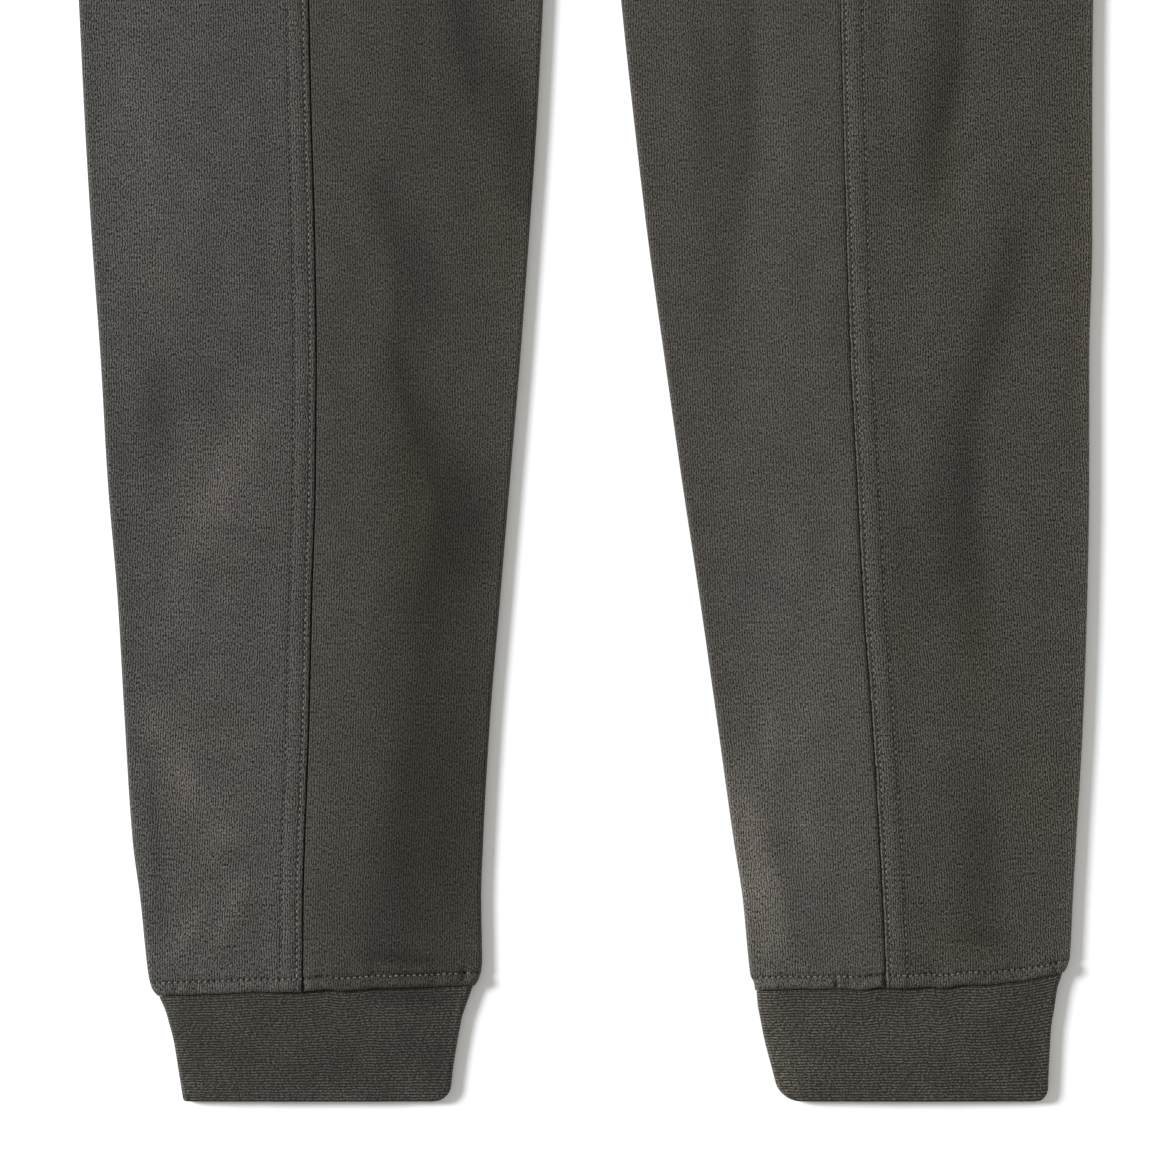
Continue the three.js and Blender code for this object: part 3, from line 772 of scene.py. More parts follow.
def add_object(name: str, points: Grid, faces: list[list[int]]) -> bpy.types.Object:
    """Make a smooth mesh object at the origin.

    Args:
        name: the object's name.
        points: its points in millimetres.
        faces: its faces as lists of point numbers.

    Returns:
        The new object.
    """
    mesh = bpy.data.meshes.new(name)
    mesh.from_pydata((points * MM).tolist(), [], faces)
    mesh.validate()
    mesh.shade_smooth()
    made = bpy.data.objects.new(name, mesh)
    bpy.context.scene.collection.objects.link(made)
    return made


def add_wall(name: str, outer: Grid, inner: Grid, ring: bool, cloth: Grid, tone: Grid) -> bpy.types.Object:
    """Make a closed wall of cloth between two grids of points.

    Args:
        name: the object's name.
        outer: grid of points on the outside, in millimetres.
        inner: grid of points on the inside.
        ring: whether the last column joins the first.
        cloth: grid of places on the cloth: along it, up it, and above the hem, in millimetres.
        tone: grid of the redder tone's share, how much lighter the cloth is, and the cooler tone's share.

    Returns:
        The wall, with its places and tones as the attributes "cloth" and "tone".
    """
    rows, across = outer.shape[:2]
    number = np.arange(2 * rows * across).reshape(2, rows, across)
    if ring:
        number = np.concatenate([number, number[:, :, :1]], axis=2)
    out, ins = number
    corners = [
        (out[:-1, :-1], out[:-1, 1:], out[1:, 1:], out[1:, :-1]),
        (ins[:-1, :-1], ins[1:, :-1], ins[1:, 1:], ins[:-1, 1:]),
        (out[0, 1:], out[0, :-1], ins[0, :-1], ins[0, 1:]),
        (out[-1, :-1], out[-1, 1:], ins[-1, 1:], ins[-1, :-1]),
    ]
    if not ring:
        corners.append((out[:-1, 0], out[1:, 0], ins[1:, 0], ins[:-1, 0]))
        corners.append((out[1:, -1], out[:-1, -1], ins[:-1, -1], ins[1:, -1]))
    faces = np.concatenate([np.stack(four, axis=-1).reshape(-1, 4) for four in corners])
    points = np.concatenate([outer.reshape(-1, 3), inner.reshape(-1, 3)])
    a, b, c, d = (points[faces[:, k]] for k in range(4))
    volume = (np.cross(a, b) * c).sum() + (np.cross(a, c) * d).sum()
    if volume < 0:
        faces = faces[:, ::-1]
    wall = add_object(name, points, faces.tolist())
    for title, values in (("cloth", cloth), ("tone", tone)):
        layer = wall.data.attributes.new(title, "FLOAT_VECTOR", "POINT")
        layer.data.foreach_set("vector", np.concatenate([values, values]).ravel().astype(np.float32))
    return wall


def along(points: Grid, start: int = 0) -> Grid:
    """Distance along each row of points from a column, negative before it."""
    steps = np.linalg.norm(np.diff(points, axis=1), axis=2)
    run = np.concatenate([np.zeros((len(points), 1)), np.cumsum(steps, axis=1)], axis=1)
    return run - run[:, start : start + 1]


def panel_rises() -> Grid:
    """The rises of a panel's rows: close at the hem, fine in the leg, wider above."""
    leg = np.arange(*LEG_ROWS)
    first, last, step = HIP_ROWS
    hip = np.arange(leg[-1] + first, last, step)
    return np.concatenate([HEM + np.array(HEM_ROWS), leg, hip, [WAIST_SEAM]])


def inner_roll(leg: Leg, rise: Grid, up: int, steps: int) -> tuple[tuple, tuple, Grid]:
    """The cloth's edge at a leg's inner side, which rolls to meet the other layer's.

    Args:
        leg: the leg.
        rise: column of rises.
        up: 1 for the front panel, whose edge turns down, and -1 for the back panel.
        steps: how many steps the roll has.

    Returns:
        The x, rise and z of the outside, the same of the inside, and where the roll starts.
    """
    edge = leg.inner(rise)
    air = leg.air(edge, rise)
    upper = leg.wall(edge, rise)
    wall = upper if up > 0 else FLEECE
    height = FLEECE + air + upper
    radius = height / 2
    middle = FLEECE + air / 2 + up * SEAM_GAP / 2
    roll = leg.roll(rise)
    t = np.linspace(0, 1, steps + 1)[None, :]
    angle = (np.pi / 2) * (1 - t)
    flat_x = edge + radius * (1 - t)
    flat_out = height if up > 0 else 0.0 * height
    flat_in = FLEECE + air if up > 0 else FLEECE + 0.0 * air
    round_x = edge + radius * (1 - np.cos(angle))
    round_z = mix(middle, flat_out, np.sin(angle))
    inside_x = edge + mix(radius, wall, t)
    outside = (mix(flat_x, round_x, roll), rise, mix(flat_out, round_z, roll))
    inside = (mix(flat_x, inside_x, roll), rise, mix(flat_in, mix(flat_in, middle, t), roll))
    return outside, inside, edge + radius


@dataclass
class FrontPanel:
    """The front of one leg, from under the lapped seam to its inner edge or the middle seam."""

    leg: Leg
    column_step: float = 2.0
    roll_steps: int = 6

    # Columns at the lap, how far each is drawn in by the seam, and which is the first that shows
    lap_offsets: tuple[float, ...] = (LAP_WIDTH, 6.0, 0.8, -0.05, -0.2, -0.4, -0.65, -0.95, -1.3)
    drawn_in: tuple[float, ...] = (0.0, 0.0, 0.0, 0.0, 1.55, 1.1, 0.42, 0.1, 0.0)
    first_shown: int = 3

    # Height of the cloth beside the lap, and how it climbs towards it
    beside_lap: float = 2.75
    climb: float = 0.6
    climb_from: float = -20.0
    climb_to: float = -2.5

    @property
    def node(self) -> str:
        """The solid that the panel stands for."""
        return f"front_panel_{self.leg.side.word}"

    def build(self, material: bpy.types.Material) -> bpy.types.Object:
        """Make the panel.

        Args:
            material: its cloth.

        Returns:
            The panel's object, riding on the root.
        """
        leg = self.leg
        rise = panel_rises()[:, None]
        seam = leg.seam(rise)
        outside_roll, inside_roll, start = inner_roll(leg, rise, 1, self.roll_steps)
        lap = np.array(self.lap_offsets)
        drawn = np.array(self.drawn_in) * mix(leg.draw_low, leg.draw_high, leg.up_leg(rise))
        under_lap = np.arange(len(lap)) <= self.first_shown
        lap_wall = np.where(under_lap, LAP_ALLOWANCE, self.beside_lap) - drawn
        count = int(np.max(seam - LAP_EASE - start) / self.column_step)
        share = np.linspace(0, 1, count + 1)[None, :-1]
        x = np.concatenate([seam + lap, mix(seam - LAP_EASE, start, share)], axis=1)
        floor = leg.floor(x, rise)
        wall = leg.wall(x, rise + 0 * x)
        climb = self.climb * smoothstep(x - seam, self.climb_from, self.climb_to)
        climb[:, : len(lap)] = 0.0
        floor = floor + climb
        wall[:, : len(lap)] += lap_wall - FLEECE
        outside = leg.place(x, rise, floor + wall)
        inside = leg.place(x, rise, floor)
        outer = np.concatenate([outside, leg.place(*outside_roll)], axis=1)
        inner = np.concatenate([inside, leg.place(*inside_roll)], axis=1)
        run = along(outer, self.first_shown)
        up = rise + 0 * run
        cloth = np.stack([lap[self.first_shown] - run, up, up - HEM], axis=-1)
        across = leg.side.value * outer[..., 0]
        made = add_wall(f"{self.node}_cloth", outer, inner, False, cloth, leg.tone(across, up))
        made.data.materials.append(material)
        finish_sheet(made, self.node)
        return made


@dataclass
class BackPanel:
    """The back of one leg, from its folded edge on the front panel, round the outer fold and under."""

    leg: Leg
    column_step: float = 2.0
    fold_steps: int = 14
    under_step: float = 9.0
    roll_steps: int = 6
    lap_offsets: tuple[float, ...] = (
        (0.0, 0.1, 0.3, 0.6, 1.0, 1.4, 1.8, 2.1, 2.4, 2.7, 3.0, 3.5, 4.4, 5.6, 6.8)
        + (8.0, 8.9, 9.3, 9.6, 9.9, 10.2, 10.5, 11.0, 11.8, 12.8, 14.0, 15.5, 17.0, 18.6, 20.3)
    )

    # The folded edge's rounding and height, and where the lap starts to thin outwards and under
    edge_round: float = 0.9
    edge_height: float = 0.3
    thin_before: float = 0.6
    under_past: float = 0.3

    @property
    def node(self) -> str:
        """The solid that the panel stands for."""
        return f"back_panel_{self.leg.side.word}"

    def lap_height(self, offset: Grid) -> Grid:
        """Height of the lap's outside over the layer's inside, from the folded edge outwards."""
        edge = quarter_round(offset, self.edge_round)
        low = LAP_ALLOWANCE + SEAM_GAP + self.edge_height
        top = mix(low, LAP_RISE + LAP_RIDGE.on(offset), edge) + LAP_SWELL.on(offset)
        shoulder = smoothstep(offset, LAP_WIDTH - self.thin_before, LAP_SHOULDER)
        return mix(top, FLEECE, shoulder) - sum(groove.on(offset) for groove in ROW_GROOVES)

    def build(self, material: bpy.types.Material) -> bpy.types.Object:
        """Make the panel.

        Args:
            material: its cloth.

        Returns:
            The panel's object, riding on the root.
        """
        leg = self.leg
        rise = panel_rises()[:, None]
        seam, fold = leg.seam(rise), leg.outer(rise)
        air = leg.air(fold, rise)
        upper = leg.wall(fold, rise)
        radius = (FLEECE + air + upper) / 2
        lap = np.array(self.lap_offsets)
        lap_x = seam + lap
        floor = leg.floor(lap_x, rise)
        thinned = smoothstep(lap, LAP_WIDTH + self.under_past, LAP_SHOULDER)
        under = (LAP_ALLOWANCE + SEAM_GAP) * (1 - thinned)
        swollen = leg.wall(lap_x, rise + 0 * lap_x) - FLEECE
        lap_out = leg.place(lap_x, rise, floor + self.lap_height(lap) + swollen)
        lap_in = leg.place(lap_x, rise, floor + under)
        count = int(np.max(fold - radius - seam - LAP_SHOULDER) / self.column_step)
        share = np.linspace(0, 1, count + 1)[None, :-1]
        x = mix(seam + LAP_SHOULDER, fold - radius, share)
        floor = leg.floor(x, rise)
        top_out = leg.place(x, rise, floor + leg.wall(x, rise + 0 * x))
        top_in = leg.place(x, rise, floor)
        angle = (np.pi / 2 - np.pi * np.linspace(0, 1, self.fold_steps + 1))[None, :]
        middle, half = fold - radius, air / 2
        turn_out = leg.place(middle + radius * np.cos(angle), rise, radius * (1 + np.sin(angle)))
        turn_in = leg.place(middle + half * np.cos(angle), rise, FLEECE + half * (1 + np.sin(angle)))
        roll_out, roll_in, start = inner_roll(leg, rise, -1, self.roll_steps)
        count = int(np.max(fold - start) / self.under_step)
        share = np.linspace(0, 1, count + 1)[None, 1:-1]
        x = mix(middle, start, share)
        under_out = leg.place(x, rise, 0.0)
        under_in = leg.place(x, rise, FLEECE)
        outer = np.concatenate([lap_out, top_out, turn_out, under_out, leg.place(*roll_out)], axis=1)
        inner = np.concatenate([lap_in, top_in, turn_in, under_in, leg.place(*roll_in)], axis=1)
        run = along(outer, len(lap))[:, len(lap) :] + LAP_SHOULDER
        run = np.concatenate([lap + 0 * rise, run], axis=1)
        up = rise + 0 * run
        cloth = np.stack([run, up, up - HEM], axis=-1)
        across = leg.side.value * outer[..., 0]
        made = add_wall(f"{self.node}_cloth", outer, inner, False, cloth, leg.tone(across, up))
        made.data.materials.append(material)
        finish_sheet(made, self.node)
        return made


def finish_sheet(
    piece: bpy.types.Object, node: str
) -> None:
    """Args:
        piece: the cloth.
        node: the solid that it stands for.
    """
    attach(piece, "root")
    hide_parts(node)


@dataclass
class Tube:
    """A flattened tube of cloth between two folds."""

    wall: float
    spans: int = 90
    under_spans: int = 20
    fold_steps: int = 10

    def section(
        self,
        low: float,
        high: float,
        air: Callable[[Grid], Grid],
        relief: Callable[[Grid], Grid],
        lift: float,
    ) -> tuple[Grid, Grid]:
        """One ring of the tube.

        Args:
            low: where its left fold ends.
            high: where its right fold ends.
            air: the air in it at each share across.
            relief: how far its upper surface rises at each share across.
            lift: how far its end is rounded off.

        Returns:
            X and Z of the points outside and inside, as two arrays of pairs.
        """
        edge_air = float(air(np.array(0.0)))
        radius = (2 * self.wall + edge_air) / 2
        start, end = low + radius, high - radius
        top = np.linspace(0, 1, self.spans + 1)[:-1]
        under = np.linspace(0, 1, self.under_spans + 1)[:-1]
        turn = np.pi * np.linspace(0, 1, self.fold_steps + 1)[:-1]
        right, left = np.pi / 2 - turn, -np.pi / 2 - turn
        half = edge_air / 2
        x_top, x_under = mix(start, end, top), mix(end, start, under)
        x_out = [x_top, end + radius * np.cos(right), x_under, start + radius * np.cos(left)]
        z_out = [
            2 * self.wall + air(top) + relief(top) - lift,
            radius + (radius - lift) * np.sin(right),
            0 * under + lift,
            radius + (radius - lift) * np.sin(left),
        ]
        x_in = [x_top, end + half * np.cos(right), x_under, start + half * np.cos(left)]
        z_in = [
            self.wall + air(top),
            self.wall + half * (1 + np.sin(right)),
            0 * under + self.wall,
            self.wall + half * (1 + np.sin(left)),
        ]
        return (
            np.stack([np.concatenate(x_out), np.concatenate(z_out)], axis=1),
            np.stack([np.concatenate(x_in), np.concatenate(z_in)], axis=1),
        )


@dataclass
class Cuff:
    """The rib cuff of one leg, a tube folded double whose top is sewn along the hem."""

    leg: Leg
    crown: float = 1.3
    row_step: float = 0.9
    low_rows: tuple[float, ...] = (0.0, 0.2, 0.5, 0.9, 1.4, 2.0, 2.7, 3.5)
    first_even_row: float = 4.4
    end_depth: float = 1.1
    spans: int = 124
    under_spans: int = 16

    @property
    def node(self) -> str:
        """The solid that the cuff stands for."""
        return f"cuff_{self.leg.side.word}"

    def build(self, material: bpy.types.Material) -> bpy.types.Object:
        """Make the cuff.

        Args:
            material: its rib knit.

        Returns:
            The cuff's object, riding on the root.
        """
        leg = self.leg
        tube = Tube(RIB, self.spans, self.under_spans)
        even_rows = np.linspace(self.first_even_row, HEM, int(HEM / self.row_step))
        rows = np.concatenate([self.low_rows, even_rows])
        uneven = Ripple(seed=51 + leg.side.value, shortest=12.0, longest=60.0, height=0.28)
        outer, inner = [], []
        for rise in rows:
            out_x = float(leg.cuff_outer(rise)) - corner_inset(leg.corner_outer, rise)
            in_x = float(leg.cuff_inner(rise)) + corner_inset(leg.corner_inner, rise)
            low, high = sorted((leg.side.value * in_x, leg.side.value * out_x))
            outside, inside = tube.section(
                low,
                high,
                lambda s: EDGE_AIR + self.crown * np.sin(np.pi * s),
                lambda s: uneven(mix(low, high, s), rise + 0 * s) * np.sin(np.pi * s) ** 0.5,
                self.end_depth * (1 - float(quarter_round(rise, END_ROUND))),
            )
            for ring, grid in ((outside, outer), (inside, inner)):
                share = np.clip((ring[:, 0] - low) / (high - low), 0, 1)
                across = share if leg.side is Side.LEFT else 1 - share
                y = rise / HEM * (leg.hem_at(across) - SEAM_GAP) - LENGTH / 2
                grid.append(np.stack([ring[:, 0], y, ring[:, 1]], axis=1))
        outer_grid, inner_grid = np.array(outer), np.array(inner)
        run = along(outer_grid)
        up = rows[:, None] + 0 * run
        cloth = np.stack([run, up, 0 * run], axis=-1)
        tone = leg.cuff_tone(leg.side.value * outer_grid[..., 0], up)
        made = add_wall(f"{self.node}_rib", outer_grid, inner_grid, True, cloth, tone)
        made.data.materials.append(material)
        finish_sheet(made, self.node)
        return made


def corner_inset(radius: float, above: float) -> float:
    """How far a corner draws the edge in at a height above its end."""
    return 0.0 if above >= radius else radius - math.sqrt(radius**2 - (radius - above) ** 2)


@dataclass
class Waistband:
    """The elastic waistband, a tube whose upper layer stands in gathers."""

    crown: float = 1.6
    gather_height: float = 0.9
    end_depth: float = 1.0
    end_rows: tuple[float, ...] = (0.0, 0.3, 0.8, 1.4)
    first_even_row: float = 2.4
    even_rows: int = 28
    spans_a_gather: int = 12
    under_spans: int = 40
    node: str = "waistband"

    # How far up the band narrows to its top, and how the gathers sway, flatten and crumple
    narrow_by: float = 0.4
    sway: float = 0.5
    wander: float = 0.25
    wander_up: float = 9.0
    wander_span: float = 31.0
    flat_edge: float = 0.02
    crumple: float = 0.8
    stitch_line: Trace = Trace(3.4, 0.8, 0.4)

    # The cloth's own places start clear of the leg's stitch rows
    cloth_start: float = 40.0

    def relief(self, share: Grid, row: float, half: float, uneven: Ripple) -> Grid:
        """The gathers of the upper layer.

        Args:
            share: the share across the band at each point.
            row: height up the band.
            half: half the band's width there.
            uneven: the crumpling of its cloth.

        Returns:
            How far the upper surface rises.
        """
        x = mix(-half, half, share)
        turns = 2 * math.pi * BAND_GATHERS * share + self.sway * np.sin(x / GATHER_SWAY_SPAN)
        phase = turns + self.wander * np.sin(row / self.wander_up + x / self.wander_span)
        edge = np.clip(np.minimum(share, 1 - share) / self.flat_edge, 0, 1)
        wave = 0.5 * self.gather_height * (np.cos(phase) - 1)
        return edge * (wave + uneven(x, row + 0 * x) * self.crumple - self.stitch_line.on(row + 0 * x))

    def build(self, material: bpy.types.Material) -> bpy.types.Object:
        """Make the waistband.

        Args:
            material: its cloth.

        Returns:
            The waistband's object, riding on the root.
        """
        tube = Tube(ELASTIC, BAND_GATHERS * self.spans_a_gather, self.under_spans)
        height = LENGTH - WAIST_SEAM - SEAM_GAP
        even = np.linspace(self.first_even_row, height - self.first_even_row, self.even_rows)
        rows = np.concatenate([self.end_rows, even, height - np.array(self.end_rows[::-1])])
        uneven = Ripple(seed=71, shortest=9.0, longest=40.0, height=0.5)
        outer, inner = [], []
        for row in rows:
            half = mix(BAND_HALF_BOTTOM, BAND_HALF_TOP, float(smoothstep(row / height, 0.0, self.narrow_by)))
            outside, inside = tube.section(
                -half,
                half,
                lambda s: EDGE_AIR + self.crown * np.sin(np.pi * s),
                lambda s: self.relief(s, row, half, uneven),
                self.end_depth * (1 - float(quarter_round(min(row, height - row), END_ROUND))),
            )
            for ring, grid in ((outside, outer), (inside, inner)):
                y = WAIST_SEAM + SEAM_GAP + row - LENGTH / 2
                grid.append(np.stack([ring[:, 0], np.full(len(ring), y), ring[:, 1]], axis=1))
        outer_grid, inner_grid = np.array(outer), np.array(inner)
        run = along(outer_grid)
        up = rows[:, None] + 0 * run
        cloth = np.stack([run + self.cloth_start, up, up + self.cloth_start], axis=-1)
        made = add_wall("waistband_cloth", outer_grid, inner_grid, True, cloth, 0 * cloth)
        made.data.materials.append(material)
        finish_sheet(made, self.node)
        return made


@dataclass
class Stitches:
    """Rows of short stitches, each a low arch of thread with its ends in the cloth."""

    name: str
    seed: int
    arch: float = 0.3
    sides: int = 6
    rings: int = 5

    # The thread's taper and flatness, how deep it starts, and how its buried tips reach out
    taper: float = 0.94
    taper_power: float = 0.6
    flatness: float = 0.8
    sunk: float = 0.22
    tip_out: float = 0.1
    tip_depth: float = 0.3

    # How unevenly the stitches turn, stray and vary in size
    swing: float = 0.05
    stray: float = 0.05
    sizes: tuple[float, float] = (0.88, 1.1)

    def template(self, length: float) -> tuple[Grid, list, list]:
        """One stitch along X: its points, four-sided faces and three-sided ends."""
        t = np.linspace(-1, 1, self.rings)
        turn = 2 * np.pi * np.arange(self.sides) / self.sides
        body = np.sqrt(1 - (self.taper * t) ** 2) ** self.taper_power
        aside = np.outer(body, np.cos(turn)).ravel() * THREAD_HALF_WIDTH
        above = (np.outer(body, np.sin(turn)) * THREAD_HALF_WIDTH * self.flatness).ravel()
        above += np.repeat(self.arch * (1 - t**2) - self.sunk, self.sides)
        ring = np.stack([np.repeat(t * length / 2, self.sides), aside, above], axis=1)
        reach = length / 2 + self.tip_out
        tips = np.array([[-reach, 0, -self.tip_depth], [reach, 0, -self.tip_depth]])
        last, tip = (self.rings - 1) * self.sides, self.rings * self.sides
        pairs = [(s, (s + 1) % self.sides) for s in range(self.sides)]
        quads = [
            (low + s, low + self.sides + s, low + self.sides + n, low + n)
            for low in range(0, last, self.sides)
            for s, n in pairs
        ]
        tris = [(tip, s, n) for s, n in pairs]
        tris += [(tip + 1, last + n, last + s) for s, n in pairs]
        return np.concatenate([ring, tips]), quads, tris

    def build(
        self, places: Grid, tangents: Grid, length: float, material: bpy.types.Material
    ) -> bpy.types.Object:
        """Make all the stitches as one mesh.

        Args:
            places: the middle of each stitch on the cloth, in millimetres.
            tangents: the way each one runs.
            length: how long a stitch is.
            material: the thread.

        Returns:
            The stitches' object, riding on the root.
        """
        template, quads, tris = self.template(length)
        draw = np.random.RandomState(self.seed)
        up = np.array([0.0, 0.0, 1.0])
        forward = unit(tangents)
        swing = draw.normal(0, self.swing, len(places))
        forward = unit(forward + swing[:, None] * unit(np.cross(up, forward)))
        aside = unit(np.cross(up, forward))
        above = np.cross(forward, aside)
        size = draw.uniform(*self.sizes, len(places))[:, None, None]
        middle = places + aside * draw.normal(0, self.stray, len(places))[:, None]
        shaped = template[None] * size
        points = (
            middle[:, None]
            + shaped[..., :1] * forward[:, None]
            + shaped[..., 1:2] * aside[:, None]
            + shaped[..., 2:] * above[:, None]
        )
        starts = (np.arange(len(places)) * len(template))[:, None, None]
        faces = (np.array(quads) + starts).reshape(-1, 4).tolist()
        faces += (np.array(tris) + starts).reshape(-1, 3).tolist()
        made = add_object(self.name, points.reshape(-1, 3), faces)
        made.data.materials.append(material)
        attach(made, "root")
        log.info("%s: %d stitches", self.name, len(places))
        return made


def unit(vectors: Grid) -> Grid:
    """Each vector at a length of 1."""
    return vectors / np.linalg.norm(vectors, axis=1, keepdims=True)


@dataclass
class Sewing:
    """The rows of stitches on one leg: two along the forward seam and one round the hem."""

    leg: Leg
    back: BackPanel
    over_hem: float = 5.6
    under_waist: float = 3.0
    off_edge: float = 3.0
    seam_probe: float = 0.8
    hem_probe: float = 0.5
    hem_arch: float = 0.36
    near_seed: int = 5
    far_seed: int = 12
    hem_seed: int = 15

    def build(
        self, thread: bpy.types.Material, far_row_thread: bpy.types.Material
    ) -> list[bpy.types.Object]:
        """Make the rows.

        Args:
            thread: the thread of the near row and of the hem's row.
            far_row_thread: the darker thread of the far row.

        Returns:
            The near row, the far row and the hem's.
        """
        leg = self.leg
        word, sign = leg.side.word, leg.side.value
        first = math.ceil((HEM + self.over_hem) / SEAM_PITCH)
        last = math.floor((WAIST_SEAM - self.under_waist) / SEAM_PITCH)
        rise = np.arange(first, last + 1) * SEAM_PITCH + SEAM_PITCH / 2
        made = []
        for name, row, seed, row_thread in (
            ("near", NEAR_ROW, self.near_seed, thread),
            ("far", FAR_ROW, self.far_seed, far_row_thread),
        ):
            ends = []
            for shift in (0.0, -self.seam_probe, self.seam_probe):
                r = rise + shift
                x = leg.seam(r) + row
                z = leg.floor(x, r) + self.back.lap_height(np.array(row)) + leg.wall(x, r) - FLEECE
                ends.append(leg.place(x, r, z))
            rows = Stitches(f"{name}_row_stitches_{word}", seed=seed + sign)
            made.append(rows.build(ends[0], ends[2] - ends[1], SEAM_PITCH * STITCH_SHARE, row_thread))
        r = HEM + HEM_ROW
        low, high = float(leg.inner(r)) + self.off_edge, float(leg.outer(r)) - self.off_edge
        count = int((high - low) / HEM_PITCH)
        x = (math.ceil(low / HEM_PITCH) + np.arange(count)) * HEM_PITCH + HEM_PITCH / 2
        x = x[x < high]
        shifts = (0.0, -self.hem_probe, self.hem_probe)
        ends = [leg.place(x + s, r, self.hem_height(x + s, r)) for s in shifts]
        hem = Stitches(f"hem_stitches_{word}", seed=self.hem_seed + sign, arch=self.hem_arch)
        made.append(hem.build(ends[0], ends[2] - ends[1], HEM_PITCH * STITCH_SHARE, thread))
        return made

    def hem_height(self, x: Grid, rise: float) -> Grid:
        """Height of the cloth along the hem's row, up over the lapped seam."""
        leg = self.leg
        rises = rise + 0 * x
        offset = x - leg.seam(rises)
        plain = leg.floor(x, rises) + leg.wall(x, rises)
        lap = plain + self.back.lap_height(np.clip(offset, 0, None)) - FLEECE
        return np.where((offset > 0) & (offset < LAP_SHOULDER), lap, plain)


def linear(hex_colour: str) -> tuple[float, float, float, float]:
    """An sRGB hex colour as linear light, with full alpha."""
    shares = [int(hex_colour[k : k + 2], 16) / 255 for k in (1, 3, 5)]
    light = [s / 12.92 if s <= 0.04045 else ((s + 0.055) / 1.055) ** 2.4 for s in shares]
    return (*light, 1.0)


class Nodes:
    """The nodes of one material."""

    def __init__(self, name: str) -> None:
        """Start an empty material of that name."""
        self.material = bpy.data.materials.new(name)
        self.material.use_nodes = True
        self.tree = self.material.node_tree
        self.tree.nodes.clear()

    def add(
        self, kind: str, inputs: Sequence | dict, out: int | str | slice = 0, **settings: object
    ) -> object:
        """Add a node with its settings and its links.

        Args:
            kind: the node's type, without its first word.
            inputs: its inputs, in order or by name or number, each a value or a socket to link from.
            out: which of its outputs is wanted.
            settings: its properties.

        Returns:
            The wanted output, or nothing where the node has none.
        """
        node = self.tree.nodes.new(f"ShaderNode{kind}")
        for name, value in settings.items():
            setattr(node, name, value)
        for name, value in inputs.items() if isinstance(inputs, dict) else enumerate(inputs):
            if isinstance(value, Socket):
                self.tree.links.new(value, node.inputs[name])
            else:
                node.inputs[name].default_value = value
        return node.outputs[out] if len(node.outputs) else None

    def weigh(self, *parts: tuple[object, float]) -> Socket:
        """The sum of sockets, each times its weight."""
        total: object = 0.0
        for socket, weight in parts:
            total = self.add("Math", (socket, weight, total), operation="MULTIPLY_ADD")
        return total

    def product(self, *factors: object) -> Socket:
        """All the factors multiplied."""
        total = factors[0]
        for factor in factors[1:]:
            total = self.add("Math", (total, factor), operation="MULTIPLY")
        return total

    def dye(self, hue: object, *tints: tuple[str, object]) -> Socket:
        """A hue blended towards each tint in turn, by that tint's share."""
        for colour, share in tints:
            inputs = {0: share, 6: hue, 7: linear(colour)}
            hue = self.add("Mix", inputs, out=2, data_type="RGBA")
        return hue

    def close(self, shader: dict, pile: Socket | None = None) -> bpy.types.Material:
        """Close the material.

        Args:
            shader: the shader's inputs by name.
            pile: the height of its pile, where it has one.

        Returns:
            The material.
        """
        if pile is not None:
            bump = {"Height": pile, "Strength": PILE_STRENGTH, "Distance": PILE_HEIGHT * MM}
            shader["Normal"] = self.add("Bump", bump)
        self.add("OutputMaterial", {"Surface": self.add("BsdfPrincipled", shader)})
        return self.material


# Height of the cloth's pile and how strongly it shades
PILE_HEIGHT = 0.35
PILE_STRENGTH = 0.6

# Noise over the flat cloth, and a range as from, to, and what each becomes
FLAT = {"noise_dimensions": "2D"}
Range = tuple[float, ...]


